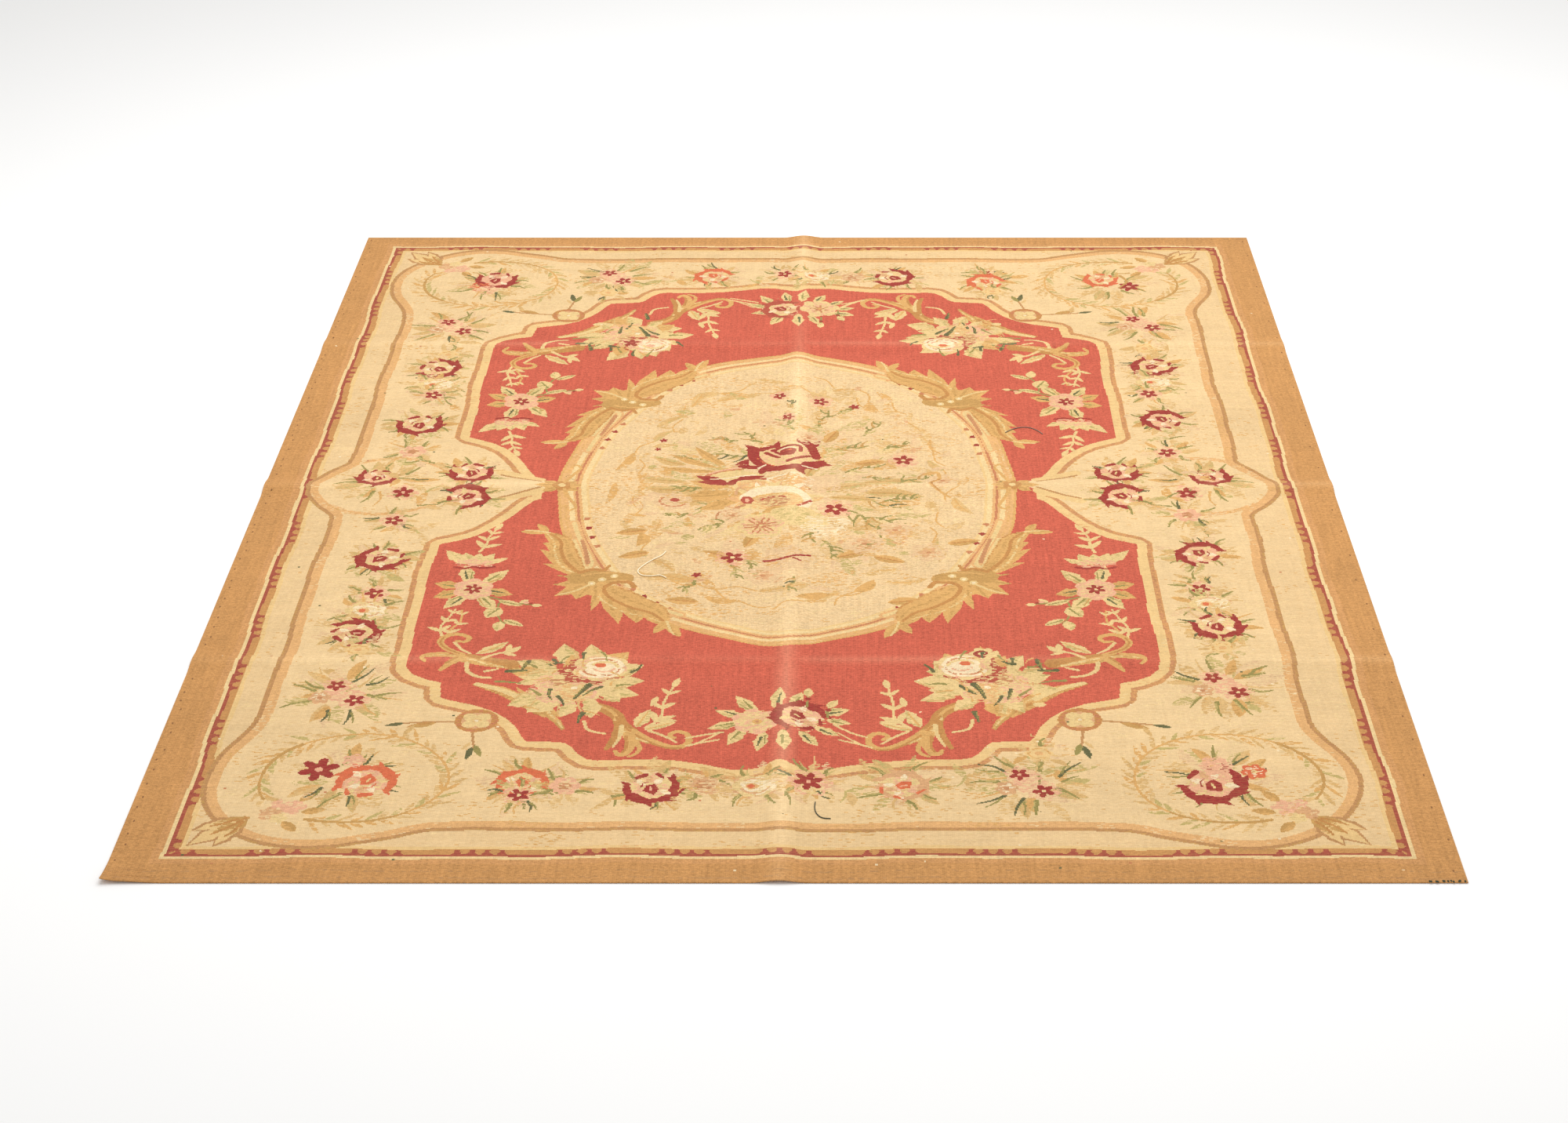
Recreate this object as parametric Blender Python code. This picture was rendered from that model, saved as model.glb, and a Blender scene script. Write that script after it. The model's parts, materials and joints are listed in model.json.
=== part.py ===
"""A flat-woven wool rug with a floral medallion design, lying on a floor.

The rug is one closed sheet: its top and underside, its turned selvedges and its hemmed ends are one piece
of cloth. It had been folded for storage, so soft creases stand up from the floor, one along its length and
three across. Three loose ends of weft yarn lie on its face.

Metres, +Z up. The origin is on the floor under the middle of the rug, and +Y runs along its length.
"""

import math

import bmesh
import bpy

# The sheet
WIDTH = 2.44
LENGTH = 3.05
THICKNESS = 0.003
EDGE_ROUND = 0.0008  # how far the two faces stop short of the selvedge's outermost line

# Creases left by folding: where the ridge runs, how high it stands, and how far it spreads to each side
LENGTH_CREASE = {"at": -0.010, "height": 0.0065, "spread": 0.055, "phase": 0.4}
CROSS_CREASES = (
    {"at": 0.800, "height": 0.0045, "spread": 0.050, "phase": 0.0},
    {"at": 0.015, "height": 0.0055, "spread": 0.050, "phase": 1.7},
    {"at": -0.760, "height": 0.0050, "spread": 0.050, "phase": 3.4},
)
SWELL = 0.25  # share by which a ridge's height comes and goes along its length
SWELL_WAVE = 0.62  # length of one such rise and fall, which starts at the crease's phase, in radians

# Shallow buckles where the cloth doesn't lie quite flat, and the front left corner that curls up
BUCKLES = (
    {"x": -0.98, "y": 0.42, "across": 0.10, "along": 0.26, "height": 0.0030},
    {"x": 1.00, "y": 0.30, "across": 0.11, "along": 0.28, "height": 0.0035},
    {"x": 0.62, "y": 1.30, "across": 0.26, "along": 0.10, "height": 0.0030},
    {"x": -0.55, "y": -1.33, "across": 0.24, "along": 0.09, "height": 0.0025},
    {"x": 0.96, "y": -1.08, "across": 0.10, "along": 0.22, "height": 0.0025},
)
CORNER_CURL = {"x": -WIDTH / 2, "y": -LENGTH / 2, "reach": 0.085, "height": 0.0095}

# Where the mesh has its lines: closer together over a crease
PLAIN_STEP = 0.115
CREASE_LINES = (-1.0, -0.66, -0.33, 0.0, 0.33, 0.66, 1.0)  # in spreads, to each side of a ridge
EDGE_LINES = (0.03, 0.07)  # in metres from each edge
NARROWEST = 0.3  # share of a plain step that a plain line keeps from the close ones

# Loose ends of yarn: the points each one passes through, seen from above
YARN_REST = 0.0003  # gap between a loose end and the face it lies on
YARN_POINT_STEP = 2.4  # in yarn diameters
YARN_SIDES = 2  # bevel resolution, which makes eight sides
LOOSE_ENDS = {
    "loose_end_cream": {
        "diameter": 0.0026,
        "route": ((-0.284, -0.298), (-0.292, -0.316), (-0.309, -0.334), (-0.327, -0.358),
                  (-0.339, -0.384), (-0.331, -0.403), (-0.311, -0.408), (-0.290, -0.405), (-0.276, -0.416)),
    },
    "loose_end_dark": {
        "diameter": 0.0020,
        "route": ((0.053, -1.272), (0.052, -1.292), (0.056, -1.311), (0.066, -1.324), (0.082, -1.327)),
    },
    "loose_end_grey": {
        "diameter": 0.0020,
        "route": ((0.487, 0.292), (0.504, 0.309), (0.524, 0.319), (0.545, 0.318), (0.562, 0.304),
                  (0.575, 0.283)),
    },
}

# Colour, roughness and metallic value of each finish
FINISHES = {
    "tapestry_wool": ((0.80, 0.58, 0.33), 0.95, 0.0),
    "cream_yarn": ((0.86, 0.78, 0.60), 0.95, 0.0),
    "dark_yarn": ((0.10, 0.10, 0.08), 0.95, 0.0),
    "grey_yarn": ((0.33, 0.31, 0.28), 0.95, 0.0),
}


def bump(distance, spread):
    """A smooth rise from 0 at the spread to 1 in the middle."""
    share = min(abs(distance) / spread, 1.0)
    return math.cos(share * math.pi / 2) ** 2


def ridge(crease, across, along):
    """How high a crease lifts the cloth at a place across and along it."""
    swell = 1 + SWELL * math.sin(2 * math.pi * along / SWELL_WAVE + crease["phase"])
    return crease["height"] * bump(across - crease["at"], crease["spread"]) * swell


def lift(x, y):
    """How high the cloth's underside stands above the floor at a place."""
    rises = [ridge(LENGTH_CREASE, x, y)]
    rises += [ridge(crease, y, x) for crease in CROSS_CREASES]
    for buckle in BUCKLES:
        away = math.hypot((x - buckle["x"]) / buckle["across"], (y - buckle["y"]) / buckle["along"])
        rises.append(buckle["height"] * bump(away, 1.0))
    curl = CORNER_CURL
    away = math.hypot(x - curl["x"], y - curl["y"])
    rises.append(curl["height"] * max(0.0, 1 - away / curl["reach"]) ** 2)
    # Ridges that cross blend into each other, so the sum is softened towards the higher one
    return math.sqrt(sum(rise * rise for rise in rises))


def stations(size, creases):
    """Where the mesh has its lines in one direction, from edge to edge."""
    half = size / 2
    steps = round(size / PLAIN_STEP)
    plain = [-half + size * k / steps for k in range(steps)] + [half]
    close = [c["at"] + c["spread"] * share for c in creases for share in CREASE_LINES]
    close += [sign * (half - inset) for inset in EDGE_LINES for sign in (-1, 1)]
    nearest = NARROWEST * PLAIN_STEP
    kept = [p for p in plain if p in (plain[0], plain[-1]) or min(abs(p - c) for c in close) > nearest]
    return sorted(kept + close)


def finish(name):
    """The material of one finish."""
    colour, roughness, metallic = FINISHES[name]
    material = bpy.data.materials.new(name)
    material.use_nodes = True
    shader = material.node_tree.nodes["Principled BSDF"]
    shader.inputs["Base Color"].default_value = (*colour, 1)
    shader.inputs["Roughness"].default_value = roughness
    shader.inputs["Metallic"].default_value = metallic
    return material


def make_rug():
    """The whole rug: two faces joined round their edge by a rounded selvedge."""
    across = stations(WIDTH, [LENGTH_CREASE])
    along = stations(LENGTH, CROSS_CREASES)
    last_x, last_y = len(across) - 1, len(along) - 1
    mesh = bmesh.new()

    def inset(value, half):
        return max(-half + EDGE_ROUND, min(half - EDGE_ROUND, value))

    def face_point(x, y, height):
        place = (inset(x, WIDTH / 2), inset(y, LENGTH / 2), lift(x, y) + height)
        return mesh.verts.new(place)

    top = [[face_point(x, y, THICKNESS) for y in along] for x in across]
    under = [[face_point(x, y, 0.0) for y in along] for x in across]
    for i in range(last_x):
        for j in range(last_y):
            mesh.faces.new((top[i][j], top[i + 1][j], top[i + 1][j + 1], top[i][j + 1]))
            mesh.faces.new((under[i][j], under[i][j + 1], under[i + 1][j + 1], under[i + 1][j]))

    rim = [(i, 0) for i in range(last_x)] + [(last_x, j) for j in range(last_y)]
    rim += [(i, last_y) for i in range(last_x, 0, -1)] + [(0, j) for j in range(last_y, 0, -1)]
    edge = [mesh.verts.new((across[i], along[j], lift(across[i], along[j]) + THICKNESS / 2)) for i, j in rim]
    for k, (i, j) in enumerate(rim):
        after = (k + 1) % len(rim)
        ni, nj = rim[after]
        mesh.faces.new((edge[k], edge[after], top[ni][nj], top[i][j]))
        mesh.faces.new((under[i][j], under[ni][nj], edge[after], edge[k]))
    # Each face is split the same way every time, so that the solid's facets never depend on the reader
    bmesh.ops.triangulate(mesh, faces=mesh.faces[:])

    data = bpy.data.meshes.new("rug")
    mesh.to_mesh(data)
    mesh.free()
    data.materials.append(finish("tapestry_wool"))
    data.shade_smooth()
    data.set_sharp_from_angle(angle=math.radians(40))
    rug = bpy.data.objects.new("rug", data)
    bpy.context.scene.collection.objects.link(rug)
    return rug


def smooth_route(route, spacing):
    """Points about one spacing apart on the smooth curve through a route's own points."""
    points = []
    for k in range(len(route) - 1):
        before, start = route[max(k - 1, 0)], route[k]
        end, after = route[k + 1], route[min(k + 2, len(route) - 1)]
        count = max(2, round(math.dist(start, end) / spacing))
        for step in range(count):
            t = step / count
            points.append(tuple(
                0.5 * (2 * b + (c - a) * t + (2 * a - 5 * b + 4 * c - d) * t**2 + (3 * b - a - 3 * c + d) * t**3)
                for a, b, c, d in zip(before, start, end, after)))
    return points + [route[-1]]


def make_loose_end(name, diameter, route):
    """One loose end of yarn, lying on the rug's face."""
    points = smooth_route(route, YARN_POINT_STEP * diameter)
    curve = bpy.data.curves.new(name, "CURVE")
    curve.dimensions = "3D"
    curve.bevel_depth = diameter / 2
    curve.bevel_resolution = YARN_SIDES
    curve.use_fill_caps = True
    line = curve.splines.new("POLY")
    line.points.add(len(points) - 1)
    for point, (x, y) in zip(line.points, points):
        height = lift(x, y) + THICKNESS + YARN_REST + diameter / 2
        point.co = (x, y, height, 1)
    curve.materials.append(finish(name.replace("loose_end_", "") + "_yarn"))
    end = bpy.data.objects.new(name, curve)
    bpy.context.scene.collection.objects.link(end)
    return end


def main():
    for thing in list(bpy.data.objects):
        bpy.data.objects.remove(thing)
    make_rug()
    for name, yarn in LOOSE_ENDS.items():
        make_loose_end(name, yarn["diameter"], yarn["route"])


main()
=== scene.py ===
import json
import math
import random

import bpy
import numpy as np
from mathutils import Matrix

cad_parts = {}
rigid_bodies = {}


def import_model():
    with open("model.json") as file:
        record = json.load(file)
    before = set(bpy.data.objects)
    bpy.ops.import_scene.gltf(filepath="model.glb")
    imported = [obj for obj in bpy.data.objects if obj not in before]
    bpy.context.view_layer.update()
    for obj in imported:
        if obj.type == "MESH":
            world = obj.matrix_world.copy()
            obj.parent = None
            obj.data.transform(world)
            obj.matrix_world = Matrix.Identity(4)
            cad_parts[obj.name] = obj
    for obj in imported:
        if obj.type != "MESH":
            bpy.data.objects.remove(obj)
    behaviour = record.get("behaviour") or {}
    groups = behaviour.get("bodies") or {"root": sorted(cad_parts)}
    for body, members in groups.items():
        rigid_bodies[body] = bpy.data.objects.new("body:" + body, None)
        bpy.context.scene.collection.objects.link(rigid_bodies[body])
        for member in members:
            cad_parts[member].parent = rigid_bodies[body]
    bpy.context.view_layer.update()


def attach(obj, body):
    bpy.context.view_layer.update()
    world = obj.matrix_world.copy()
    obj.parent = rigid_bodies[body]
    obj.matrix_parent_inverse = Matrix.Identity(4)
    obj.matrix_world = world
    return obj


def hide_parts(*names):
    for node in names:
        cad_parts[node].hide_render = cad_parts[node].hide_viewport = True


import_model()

# Chart
WIDTH_MM, LENGTH_MM = 2440.0, 3050.0
COLUMNS, ROWS = 960, 1200

YARNS = {
    "camel": (196, 144, 89),
    "pinkish_tan": (202, 149, 96),
    "thread_cream": (226, 197, 144),
    "guard_maroon": (161, 79, 64),
    "tan": (192, 139, 85),
    "yellow_cream": (223, 188, 130),
    "pale": (222, 190, 142),
    "brown_line": (181, 134, 88),
    "peach": (216, 167, 112),
    "cream": (225, 194, 146),
    "field_red": (197, 97, 76),
    "maroon": (152, 53, 51),
    "coral": (207, 104, 71),
    "pink": (222, 168, 134),
    "brown_pink": (188, 132, 92),
    "white_cream": (232, 210, 172),
    "leaf_cream": (219, 189, 132),
    "olive": (188, 145, 86),
    "scroll_gold": (185, 131, 76),
    "light_gold": (208, 161, 99),
    "green": (145, 134, 78),
    "dark_green": (94, 95, 64),
    "ground": (222, 191, 145),
    "pale_leaf": (211, 174, 118),
    "rosy_brown": (188, 121, 85),
    "rosy_shade": (172, 79, 65),
    "olive_pale": (205, 167, 110),
    "green_pale": (186, 166, 106),
    "brown_pink_pale": (207, 159, 115),
    "pink_pale": (217, 181, 138),
    "gold_line": (192, 147, 88),
}
NAMES = list(YARNS)
CODE = {name: k for k, name in enumerate(NAMES)}


def smooth(points, steps=6):
    """Points on the smooth curve through the given ones."""
    p = np.asarray(points, float)
    if len(p) < 3:
        return p
    p = np.vstack([p[:1], p, p[-1:]])
    t = (np.arange(steps) / steps)[:, None]
    runs = []
    for a, b, c, d in zip(p, p[1:], p[2:], p[3:]):
        runs.append(0.5 * (2 * b + (c - a) * t + (2 * a - 5 * b + 4 * c - d) * t**2
            + (3 * b - a - 3 * c + d) * t**3))
    runs.append(p[-2:-1])
    return np.vstack(runs)


def lobed(radius, count, depth, phase=0.0, sharp=1.0, squash=1.0, points=48):
    """A round outline with lobes."""
    a = np.linspace(0, 2 * math.pi, points, endpoint=False)
    r = radius * (1 - depth + depth * np.abs(np.cos(count * (a - phase) / 2)) ** sharp)
    return np.column_stack([r * np.cos(a), r * np.sin(a) * squash])


def leaf_shape(length, width, teeth=0, bend=0.0, full=0.45, depth=0.35):
    """A pointed leaf from (0, 0) to (length, 0); teeth on each side."""
    count = max(10, teeth * 4)
    t = np.linspace(0, 1, count + 1)
    half = width / 2 * np.sin(math.pi * t ** (math.log(0.5) / math.log(full))) ** 0.8
    if teeth:
        saw = (t * teeth) % 1.0
        half = half * (1 - depth * saw)
    mid = bend * np.sin(math.pi * t)
    upper = np.column_stack([t * length, mid + half])
    lower = np.column_stack([t * length, mid - half])[::-1]
    return np.vstack([upper, lower])


class Chart:
    """The stitches of the whole rug, row by row, and the yarn in each."""

    def __init__(self, columns=COLUMNS, rows=ROWS, seed=4):
        self.cw, self.rh = WIDTH_MM / columns, LENGTH_MM / rows
        x = (np.arange(columns) + 0.5) * self.cw - WIDTH_MM / 2
        y = (np.arange(rows) + 0.5) * self.rh - LENGTH_MM / 2
        self.columns, self.rows = columns, rows
        self.x, self.y = np.meshgrid(x, y)
        gx, gy = self.x.copy(), self.y.copy()
        # Hand-woven lines never run quite straight
        self.x = (gx + 2.6 * np.sin(gy / 83 + 0.6) + 1.8 * np.sin(gy / 37 + gx / 310 + 2.0)
                  + 1.2 * np.sin(gx / 61))
        self.y = gy + 2.4 * np.sin(gx / 97 + 1.1) + 1.8 * np.sin(gx / 43 - gy / 260) + 1.0 * np.sin(gy / 53)
        self.yarn = np.zeros((rows, columns), np.uint8)
        rng = np.random.default_rng(seed)
        # Wefts of two shades run side by side, so that a mixed area is made of short level dashes
        dash = rng.random((rows, columns // 3 + 8))
        dash = np.repeat(dash, 3, axis=1)
        shift = rng.integers(0, 6, rows)
        self.dash = np.stack([dash[j, shift[j]:shift[j] + columns] for j in range(rows)])

    def window(self, x0, x1, y0, y1):
        """The stitches that a motif of this reach can touch."""
        m = 8
        i0 = int(max(0, (x0 - m + WIDTH_MM / 2) // self.cw))
        i1 = int(min(self.columns, (x1 + m + WIDTH_MM / 2) // self.cw + 2))
        j0 = int(max(0, (y0 - m + LENGTH_MM / 2) // self.rh))
        j1 = int(min(self.rows, (y1 + m + LENGTH_MM / 2) // self.rh + 2))
        return slice(j0, max(j0, j1)), slice(i0, max(i0, i1))

    def put(self, area, mask, yarn, share=1.0):
        """Works a yarn into the masked stitches, or into a share of their dashes."""
        if share < 1.0:
            mask = mask & (self.dash[area] < share)
        self.yarn[area][mask] = CODE[yarn]

    def fill(self, points, yarn, share=1.0):
        p = np.asarray(points, float)
        area = self.window(p[:, 0].min(), p[:, 0].max(), p[:, 1].min(), p[:, 1].max())
        x, y = self.x[area], self.y[area]
        odd = np.zeros(x.shape, bool)
        q = np.roll(p, -1, axis=0)
        for (x1, y1), (x2, y2) in zip(p, q):
            if y1 != y2:
                odd ^= ((y1 > y) != (y2 > y)) & (x < (x2 - x1) * (y - y1) / (y2 - y1) + x1)
        self.put(area, odd, yarn, share)

    def line(self, points, width, yarn, tip=None, share=1.0):
        p = np.asarray(points, float)
        w = np.linspace(width, width if tip is None else tip, len(p)) / 2
        least = 0.52 * max(self.cw, self.rh)
        w = np.maximum(w, least)
        for (x1, y1), (x2, y2), wa, wb in zip(p, p[1:], w, w[1:]):
            m = max(wa, wb)
            area = self.window(min(x1, x2) - m, max(x1, x2) + m, min(y1, y2) - m, max(y1, y2) + m)
            x, y = self.x[area], self.y[area]
            dx, dy = x2 - x1, y2 - y1
            long2 = max(dx * dx + dy * dy, 1e-9)
            t = np.clip(((x - x1) * dx + (y - y1) * dy) / long2, 0, 1)
            d2 = (x - x1 - t * dx) ** 2 + (y - y1 - t * dy) ** 2
            self.put(area, d2 <= (wa + (wb - wa) * t) ** 2, yarn, share)


class Pen:
    """Where, which way round and how large a motif is drawn."""

    def __init__(self, chart, x=0.0, y=0.0, turn=0.0, size=1.0, flip=1):
        self.chart, self.size, self.flip = chart, size, flip
        self.origin = np.array([x, y], float)
        self.turn = turn
        c, s = math.cos(turn), math.sin(turn)
        self.matrix = size * np.array([[c, -s * flip], [s, c * flip]])

    def to_rug(self, points):
        return np.asarray(points, float).reshape(-1, 2) @ self.matrix.T + self.origin

    def at(self, x, y, turn=0.0, size=1.0):
        """A pen placed in this one's own directions; turn in degrees."""
        ox, oy = self.to_rug([(x, y)])[0]
        turn = math.radians(turn)
        return Pen(self.chart, ox, oy, self.turn + self.flip * turn, self.size * size, self.flip)

    def fill(self, points, yarn, share=1.0):
        self.chart.fill(self.to_rug(points), yarn, share)

    def line(self, points, width, yarn, tip=None, share=1.0):
        tip = None if tip is None else tip * self.size
        self.chart.line(self.to_rug(smooth(points)), width * self.size, yarn, tip, share)

    def spot(self, x, y, rx, ry, yarn, share=1.0):
        a = np.linspace(0, 2 * math.pi, 20, endpoint=False)
        self.fill(np.column_stack([x + rx * np.cos(a), y + ry * np.sin(a)]), yarn, share)


# Small motifs
# The second yarn that is worked into one half of a leaf of the first
SECOND = {"leaf_cream": "green_pale", "light_gold": "olive", "pale_leaf": "light_gold",
    "olive_pale": "green_pale", "peach": "light_gold", "green_pale": "olive_pale", "olive": "scroll_gold",
    "pink_pale": "peach"}


def leaf(pen, length, width, yarn="leaf_cream", vein=None, shade=None, teeth=0, bend=0.0, share=1.0):
    """A leaf from the pen's place along the pen's heading; one half is hatched darker."""
    shape = leaf_shape(length, width, teeth, bend)
    pen.fill(shape, yarn, share=share)
    second = shade or SECOND.get(yarn)
    if second and width > 15 and share == 1.0:
        half = shape.copy()
        half[:, 1] = np.minimum(half[:, 1], bend * 0.6)
        pen.fill(half, second, share=0.75 if shade else 0.35)
    if vein:
        pen.line([(length * 0.12, bend * 0.3), (length * 0.5, bend * 0.8), (length * 0.85, bend * 0.5)],
            max(width * 0.16, 4), vein, tip=3)


def blade(pen, length, width, yarn, bend=0.0):
    """A narrow leaf or a stroke of green."""
    pen.line([(0, 0), (length * 0.5, bend), (length, 0)], width, yarn, tip=width * 0.35)


def star(pen, radius, petals=5, yarn="maroon", heart="white_cream", glow=None, phase=0.3):
    if glow:
        pen.fill(lobed(radius * 1.55, petals, 0.25, phase + 0.5), glow, share=0.5)
    pen.fill(lobed(radius, petals, 0.62, phase, sharp=0.9), yarn)
    if heart:
        pen.spot(0, 0, max(radius * 0.2, 2.2), max(radius * 0.2, 2.2), heart)


def floret(pen, radius, yarn="pink", heart="coral", petals=6, phase=0.2):
    pen.fill(lobed(radius, petals, 0.3, phase), yarn)
    pen.fill(lobed(radius * 0.72, petals, 0.3, phase), "white_cream", share=0.3)
    pen.spot(0, 0, radius * 0.25, radius * 0.22, heart)


def arc(radius, start, end, squash=0.85, count=9):
    a = np.radians(np.linspace(start, end, count))
    return np.column_stack([radius * np.cos(a), radius * squash * np.sin(a)])


def rose(pen, radius, rim="maroon", petal="leaf_cream", heart="maroon", blush="pink", opening=80):
    """A rose in an old manner: ragged pieces of dark rim, a pale blushing body and a three-cornered heart."""
    r = radius
    turned = pen.at(0, 0, opening)
    turned.fill(lobed(r * 1.05, 6, 0.24, 0.6, squash=0.9), blush, share=0.4)
    turned.fill(lobed(r * 0.86, 5, 0.16, 0.4, squash=0.9), petal)
    turned.fill(lobed(r * 0.78, 4, 0.26, 1.1, squash=0.86) + (r * 0.08, 0), blush, share=0.35)
    # The rim is made of uneven pieces, thick below and broken where the rose opens
    for path, wide, tip in ((((0.14, 0.86), (-0.22, 0.84), (-0.54, 0.62)), 0.20, 0.42),
            (((-0.66, 0.50), (-0.84, 0.16), (-0.78, -0.16)), 0.46, 0.24),
            (((-0.72, -0.34), (-0.50, -0.68), (-0.14, -0.82)), 0.30, 0.46),
            (((0.00, -0.80), (0.30, -0.84), (0.56, -0.66)), 0.34, 0.16),
            (((0.60, 0.52), (0.78, 0.22)), 0.16, 0.24), (((0.62, -0.40), (0.84, -0.22)), 0.10, 0.18)):
        turned.line([(r * x, r * y) for x, y in path], r * wide, rim, tip=r * tip)
    for x, y, heading in ((0.20, 0.90, 40), (-0.60, 0.72, 150), (-0.96, 0.02, 200), (-0.66, -0.62, 250),
            (-0.06, -0.98, 300), (0.64, -0.72, 350)):
        turned.at(r * x, r * y, heading).fill([(-r * .16, -r * .18), (r * .10, -r * .12),
            (r * .30, r * .03), (r * .04, r * .06), (-r * .04, r * .20)], rim)
    # Petals fold outwards from the heart
    for x, y, heading, shade in ((0.16, 0.22, 42, "white_cream"), (0.22, -0.14, -28, "white_cream"),
            (-0.16, 0.28, 112, blush), (-0.14, -0.30, 236, "white_cream"),
            (0.30, 0.04, 6, "brown_pink_pale")):
        leaf(turned.at(r * x, r * y, heading), r * 0.46, r * 0.26, shade, share=0.85)
    turned.line([(r * 0.02, r * 0.36), (r * 0.26, r * 0.30), (r * 0.36, r * 0.12)], r * 0.07, rim,
        tip=r * 0.03)
    turned.fill([(-r * .46, -r * .10), (-r * .20, r * .30), (r * .14, r * .18), (r * .24, -r * .12),
        (-r * .08, -r * .26)], heart)
    turned.line([(-r * 0.16, r * 0.04), (r * 0.06, r * 0.02)], r * 0.09, blush, tip=r * 0.05)


def twig(pen, points, pairs, leaf_length, leaf_width, stem="green", yarn="leaf_cream", vein=None, angle=48,
        thick=5, end_leaf=True):
    """A stem with paired leaves."""
    line = smooth(points, 8)
    pen.line(points, thick, stem, tip=thick * 0.6)
    n = len(line)
    for k in range(pairs):
        at = int((k + 0.7) / pairs * (n - 2))
        way = line[at + 1] - line[at]
        heading = math.degrees(math.atan2(way[1], way[0]))
        shrink = 1 - 0.35 * k / max(pairs - 1, 1)
        for side in (-1, 1):
            p = pen.at(*line[at], heading + side * angle, shrink)
            leaf(p, leaf_length, leaf_width, yarn, vein, bend=-side * leaf_width * 0.15)
    if end_leaf:
        way = line[-1] - line[-2]
        leaf(pen.at(*line[-1], math.degrees(math.atan2(way[1], way[0]))), leaf_length * 0.9, leaf_width,
            yarn, vein)


def acanthus(pen, spine, widths, yarn="light_gold", shade="scroll_gold", teeth=4, side=1, roll=(),
        depth=0.45):
    """A long leaf with teeth on one side of its spine and, if roll is given, a rolled band on the other."""
    line = smooth(spine, 8)
    way = np.gradient(line, axis=0)
    way /= np.linalg.norm(way, axis=1)[:, None] + 1e-9
    out = side * np.column_stack([-way[:, 1], way[:, 0]])
    t = np.linspace(0, 1, len(line))
    half = np.interp(t, np.linspace(0, 1, len(widths)), widths)

    def at(where, share):
        where = min(where, 1.0)
        reach = share * np.interp(where, t, half)
        return tuple(np.interp(where, t, line[:, k]) + reach * np.interp(where, t, out[:, k]) for k in (0, 1))

    outer, veins = [], []
    for k in range(teeth):
        base, step = k / teeth, 1 / teeth
        outer += [at(base, 1 - depth), at(base + 0.4 * step, 0.95 - 0.5 * depth),
            at(base + 1.25 * step, 1.12), at(base + 1.12 * step, 0.85 - 0.4 * depth)]
        veins.append([at(base + 0.1 * step, 0.1), at(base + 0.6 * step, 0.45), at(base + 1.05 * step, 0.85)])
    outer.append(at(1.0, 0.1))
    inner = line.copy()
    if len(roll):
        band = np.interp(t, np.linspace(0, 1, len(roll)), roll)
        inner = line - out * band[:, None]
        pen.fill(np.vstack([line, inner[::-1]]), yarn)
        for share, wide, hatch in ((0.45, 14, "olive"), (0.95, 6, shade)):
            pen.line((line - out * (band * share)[:, None])[3:-2:2], wide, hatch, tip=5, share=0.5)
    pen.fill(np.vstack([outer, line[::-1]]), yarn)
    for vein in veins:
        pen.line(vein, 12, "olive", tip=5, share=0.5)
    pen.line((line + out * (half * 0.35)[:, None])[2:-2:2], 7, "leaf_cream", tip=4, share=0.55)
    pen.line(line[::3], 10 if len(roll) else 6, shade, tip=7 if len(roll) else 4)


def palmette(pen, radius, lobes=5, spread=150, yarn="light_gold", vein="olive"):
    """A short fan of pointed lobes, longest in the middle."""
    outline = [(-radius * 0.3, -radius * 0.34)]
    middle = (lobes - 1) / 2
    for k in range(lobes):
        angle = math.radians(-spread / 2 + spread * k / (lobes - 1))
        far = radius * (1 - 0.16 * abs(k - middle))
        outline.append((far * math.cos(angle), far * math.sin(angle)))
        if k < lobes - 1:
            between = angle + math.radians(spread / (lobes - 1) * 0.5)
            outline.append((far * 0.72 * math.cos(between), far * 0.72 * math.sin(between)))
    outline.append((-radius * 0.3, radius * 0.34))
    pen.fill(outline, yarn)
    for k in range(lobes):
        q = pen.at(0, 0, -spread / 2 + spread * k / (lobes - 1))
        q.line([(radius * 0.12, 0), (radius * 0.5, 2), (radius * 0.8, 0)], 9, vein, tip=4, share=0.75)
    pen.line([(radius * 0.2, radius * 0.1), (radius * 0.6, radius * 0.1), (radius * 0.9, 0)], 6,
        "leaf_cream", tip=4)


def rectangle(hx, hy, cx=0.0, cy=0.0, shear=0.0):
    """A rectangle; shear shifts its top to the left and its bottom to the right."""
    return np.array([(cx - hx + shear, cy - hy), (cx + hx + shear, cy - hy), (cx + hx - shear, cy + hy),
        (cx - hx - shear, cy + hy)])


def four(quarter, cx=0.0, cy=0.0):
    """A whole outline from its quarter, which runs from the top's middle to the right side's middle."""
    q = np.asarray(quarter, float)
    right = np.vstack([q, q[::-1] * (1, -1)])
    whole = np.vstack([right, right[::-1] * (-1, 1)])
    return whole + (cx, cy)


def inset(points, distance):
    """A closed outline moved inwards; it runs clockwise."""
    p = np.asarray(points, float)
    before, after = np.roll(p, 1, axis=0), np.roll(p, -1, axis=0)
    way = after - before
    way /= np.linalg.norm(way, axis=1)[:, None] + 1e-9
    return p + distance * np.column_stack([way[:, 1], -way[:, 0]])


def around(chart, outline, width, yarn, share=1.0):
    """A line of yarn right round a closed outline."""
    chart.line(np.vstack([outline, outline[:1]]), width, yarn, share=share)


# Frames
# Each frame's middle, in mm from the rug's middle
GUARD = (0.0, 3.0)
FRAME = (-12.0, 3.0)
FIELD = (-20.0, 2.0)
MEDALLION = (-24.0, 20.0)
SHEAR = 7.0
GUARD_TOOTH_STEP = 27
GUARD_TOOTH = ((-12, 2), (12, 2), (4, -8), (5, -14), (-5, -14), (-4, -8))
TICK_OVAL = (464, 666)
TUFTS = 150


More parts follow.
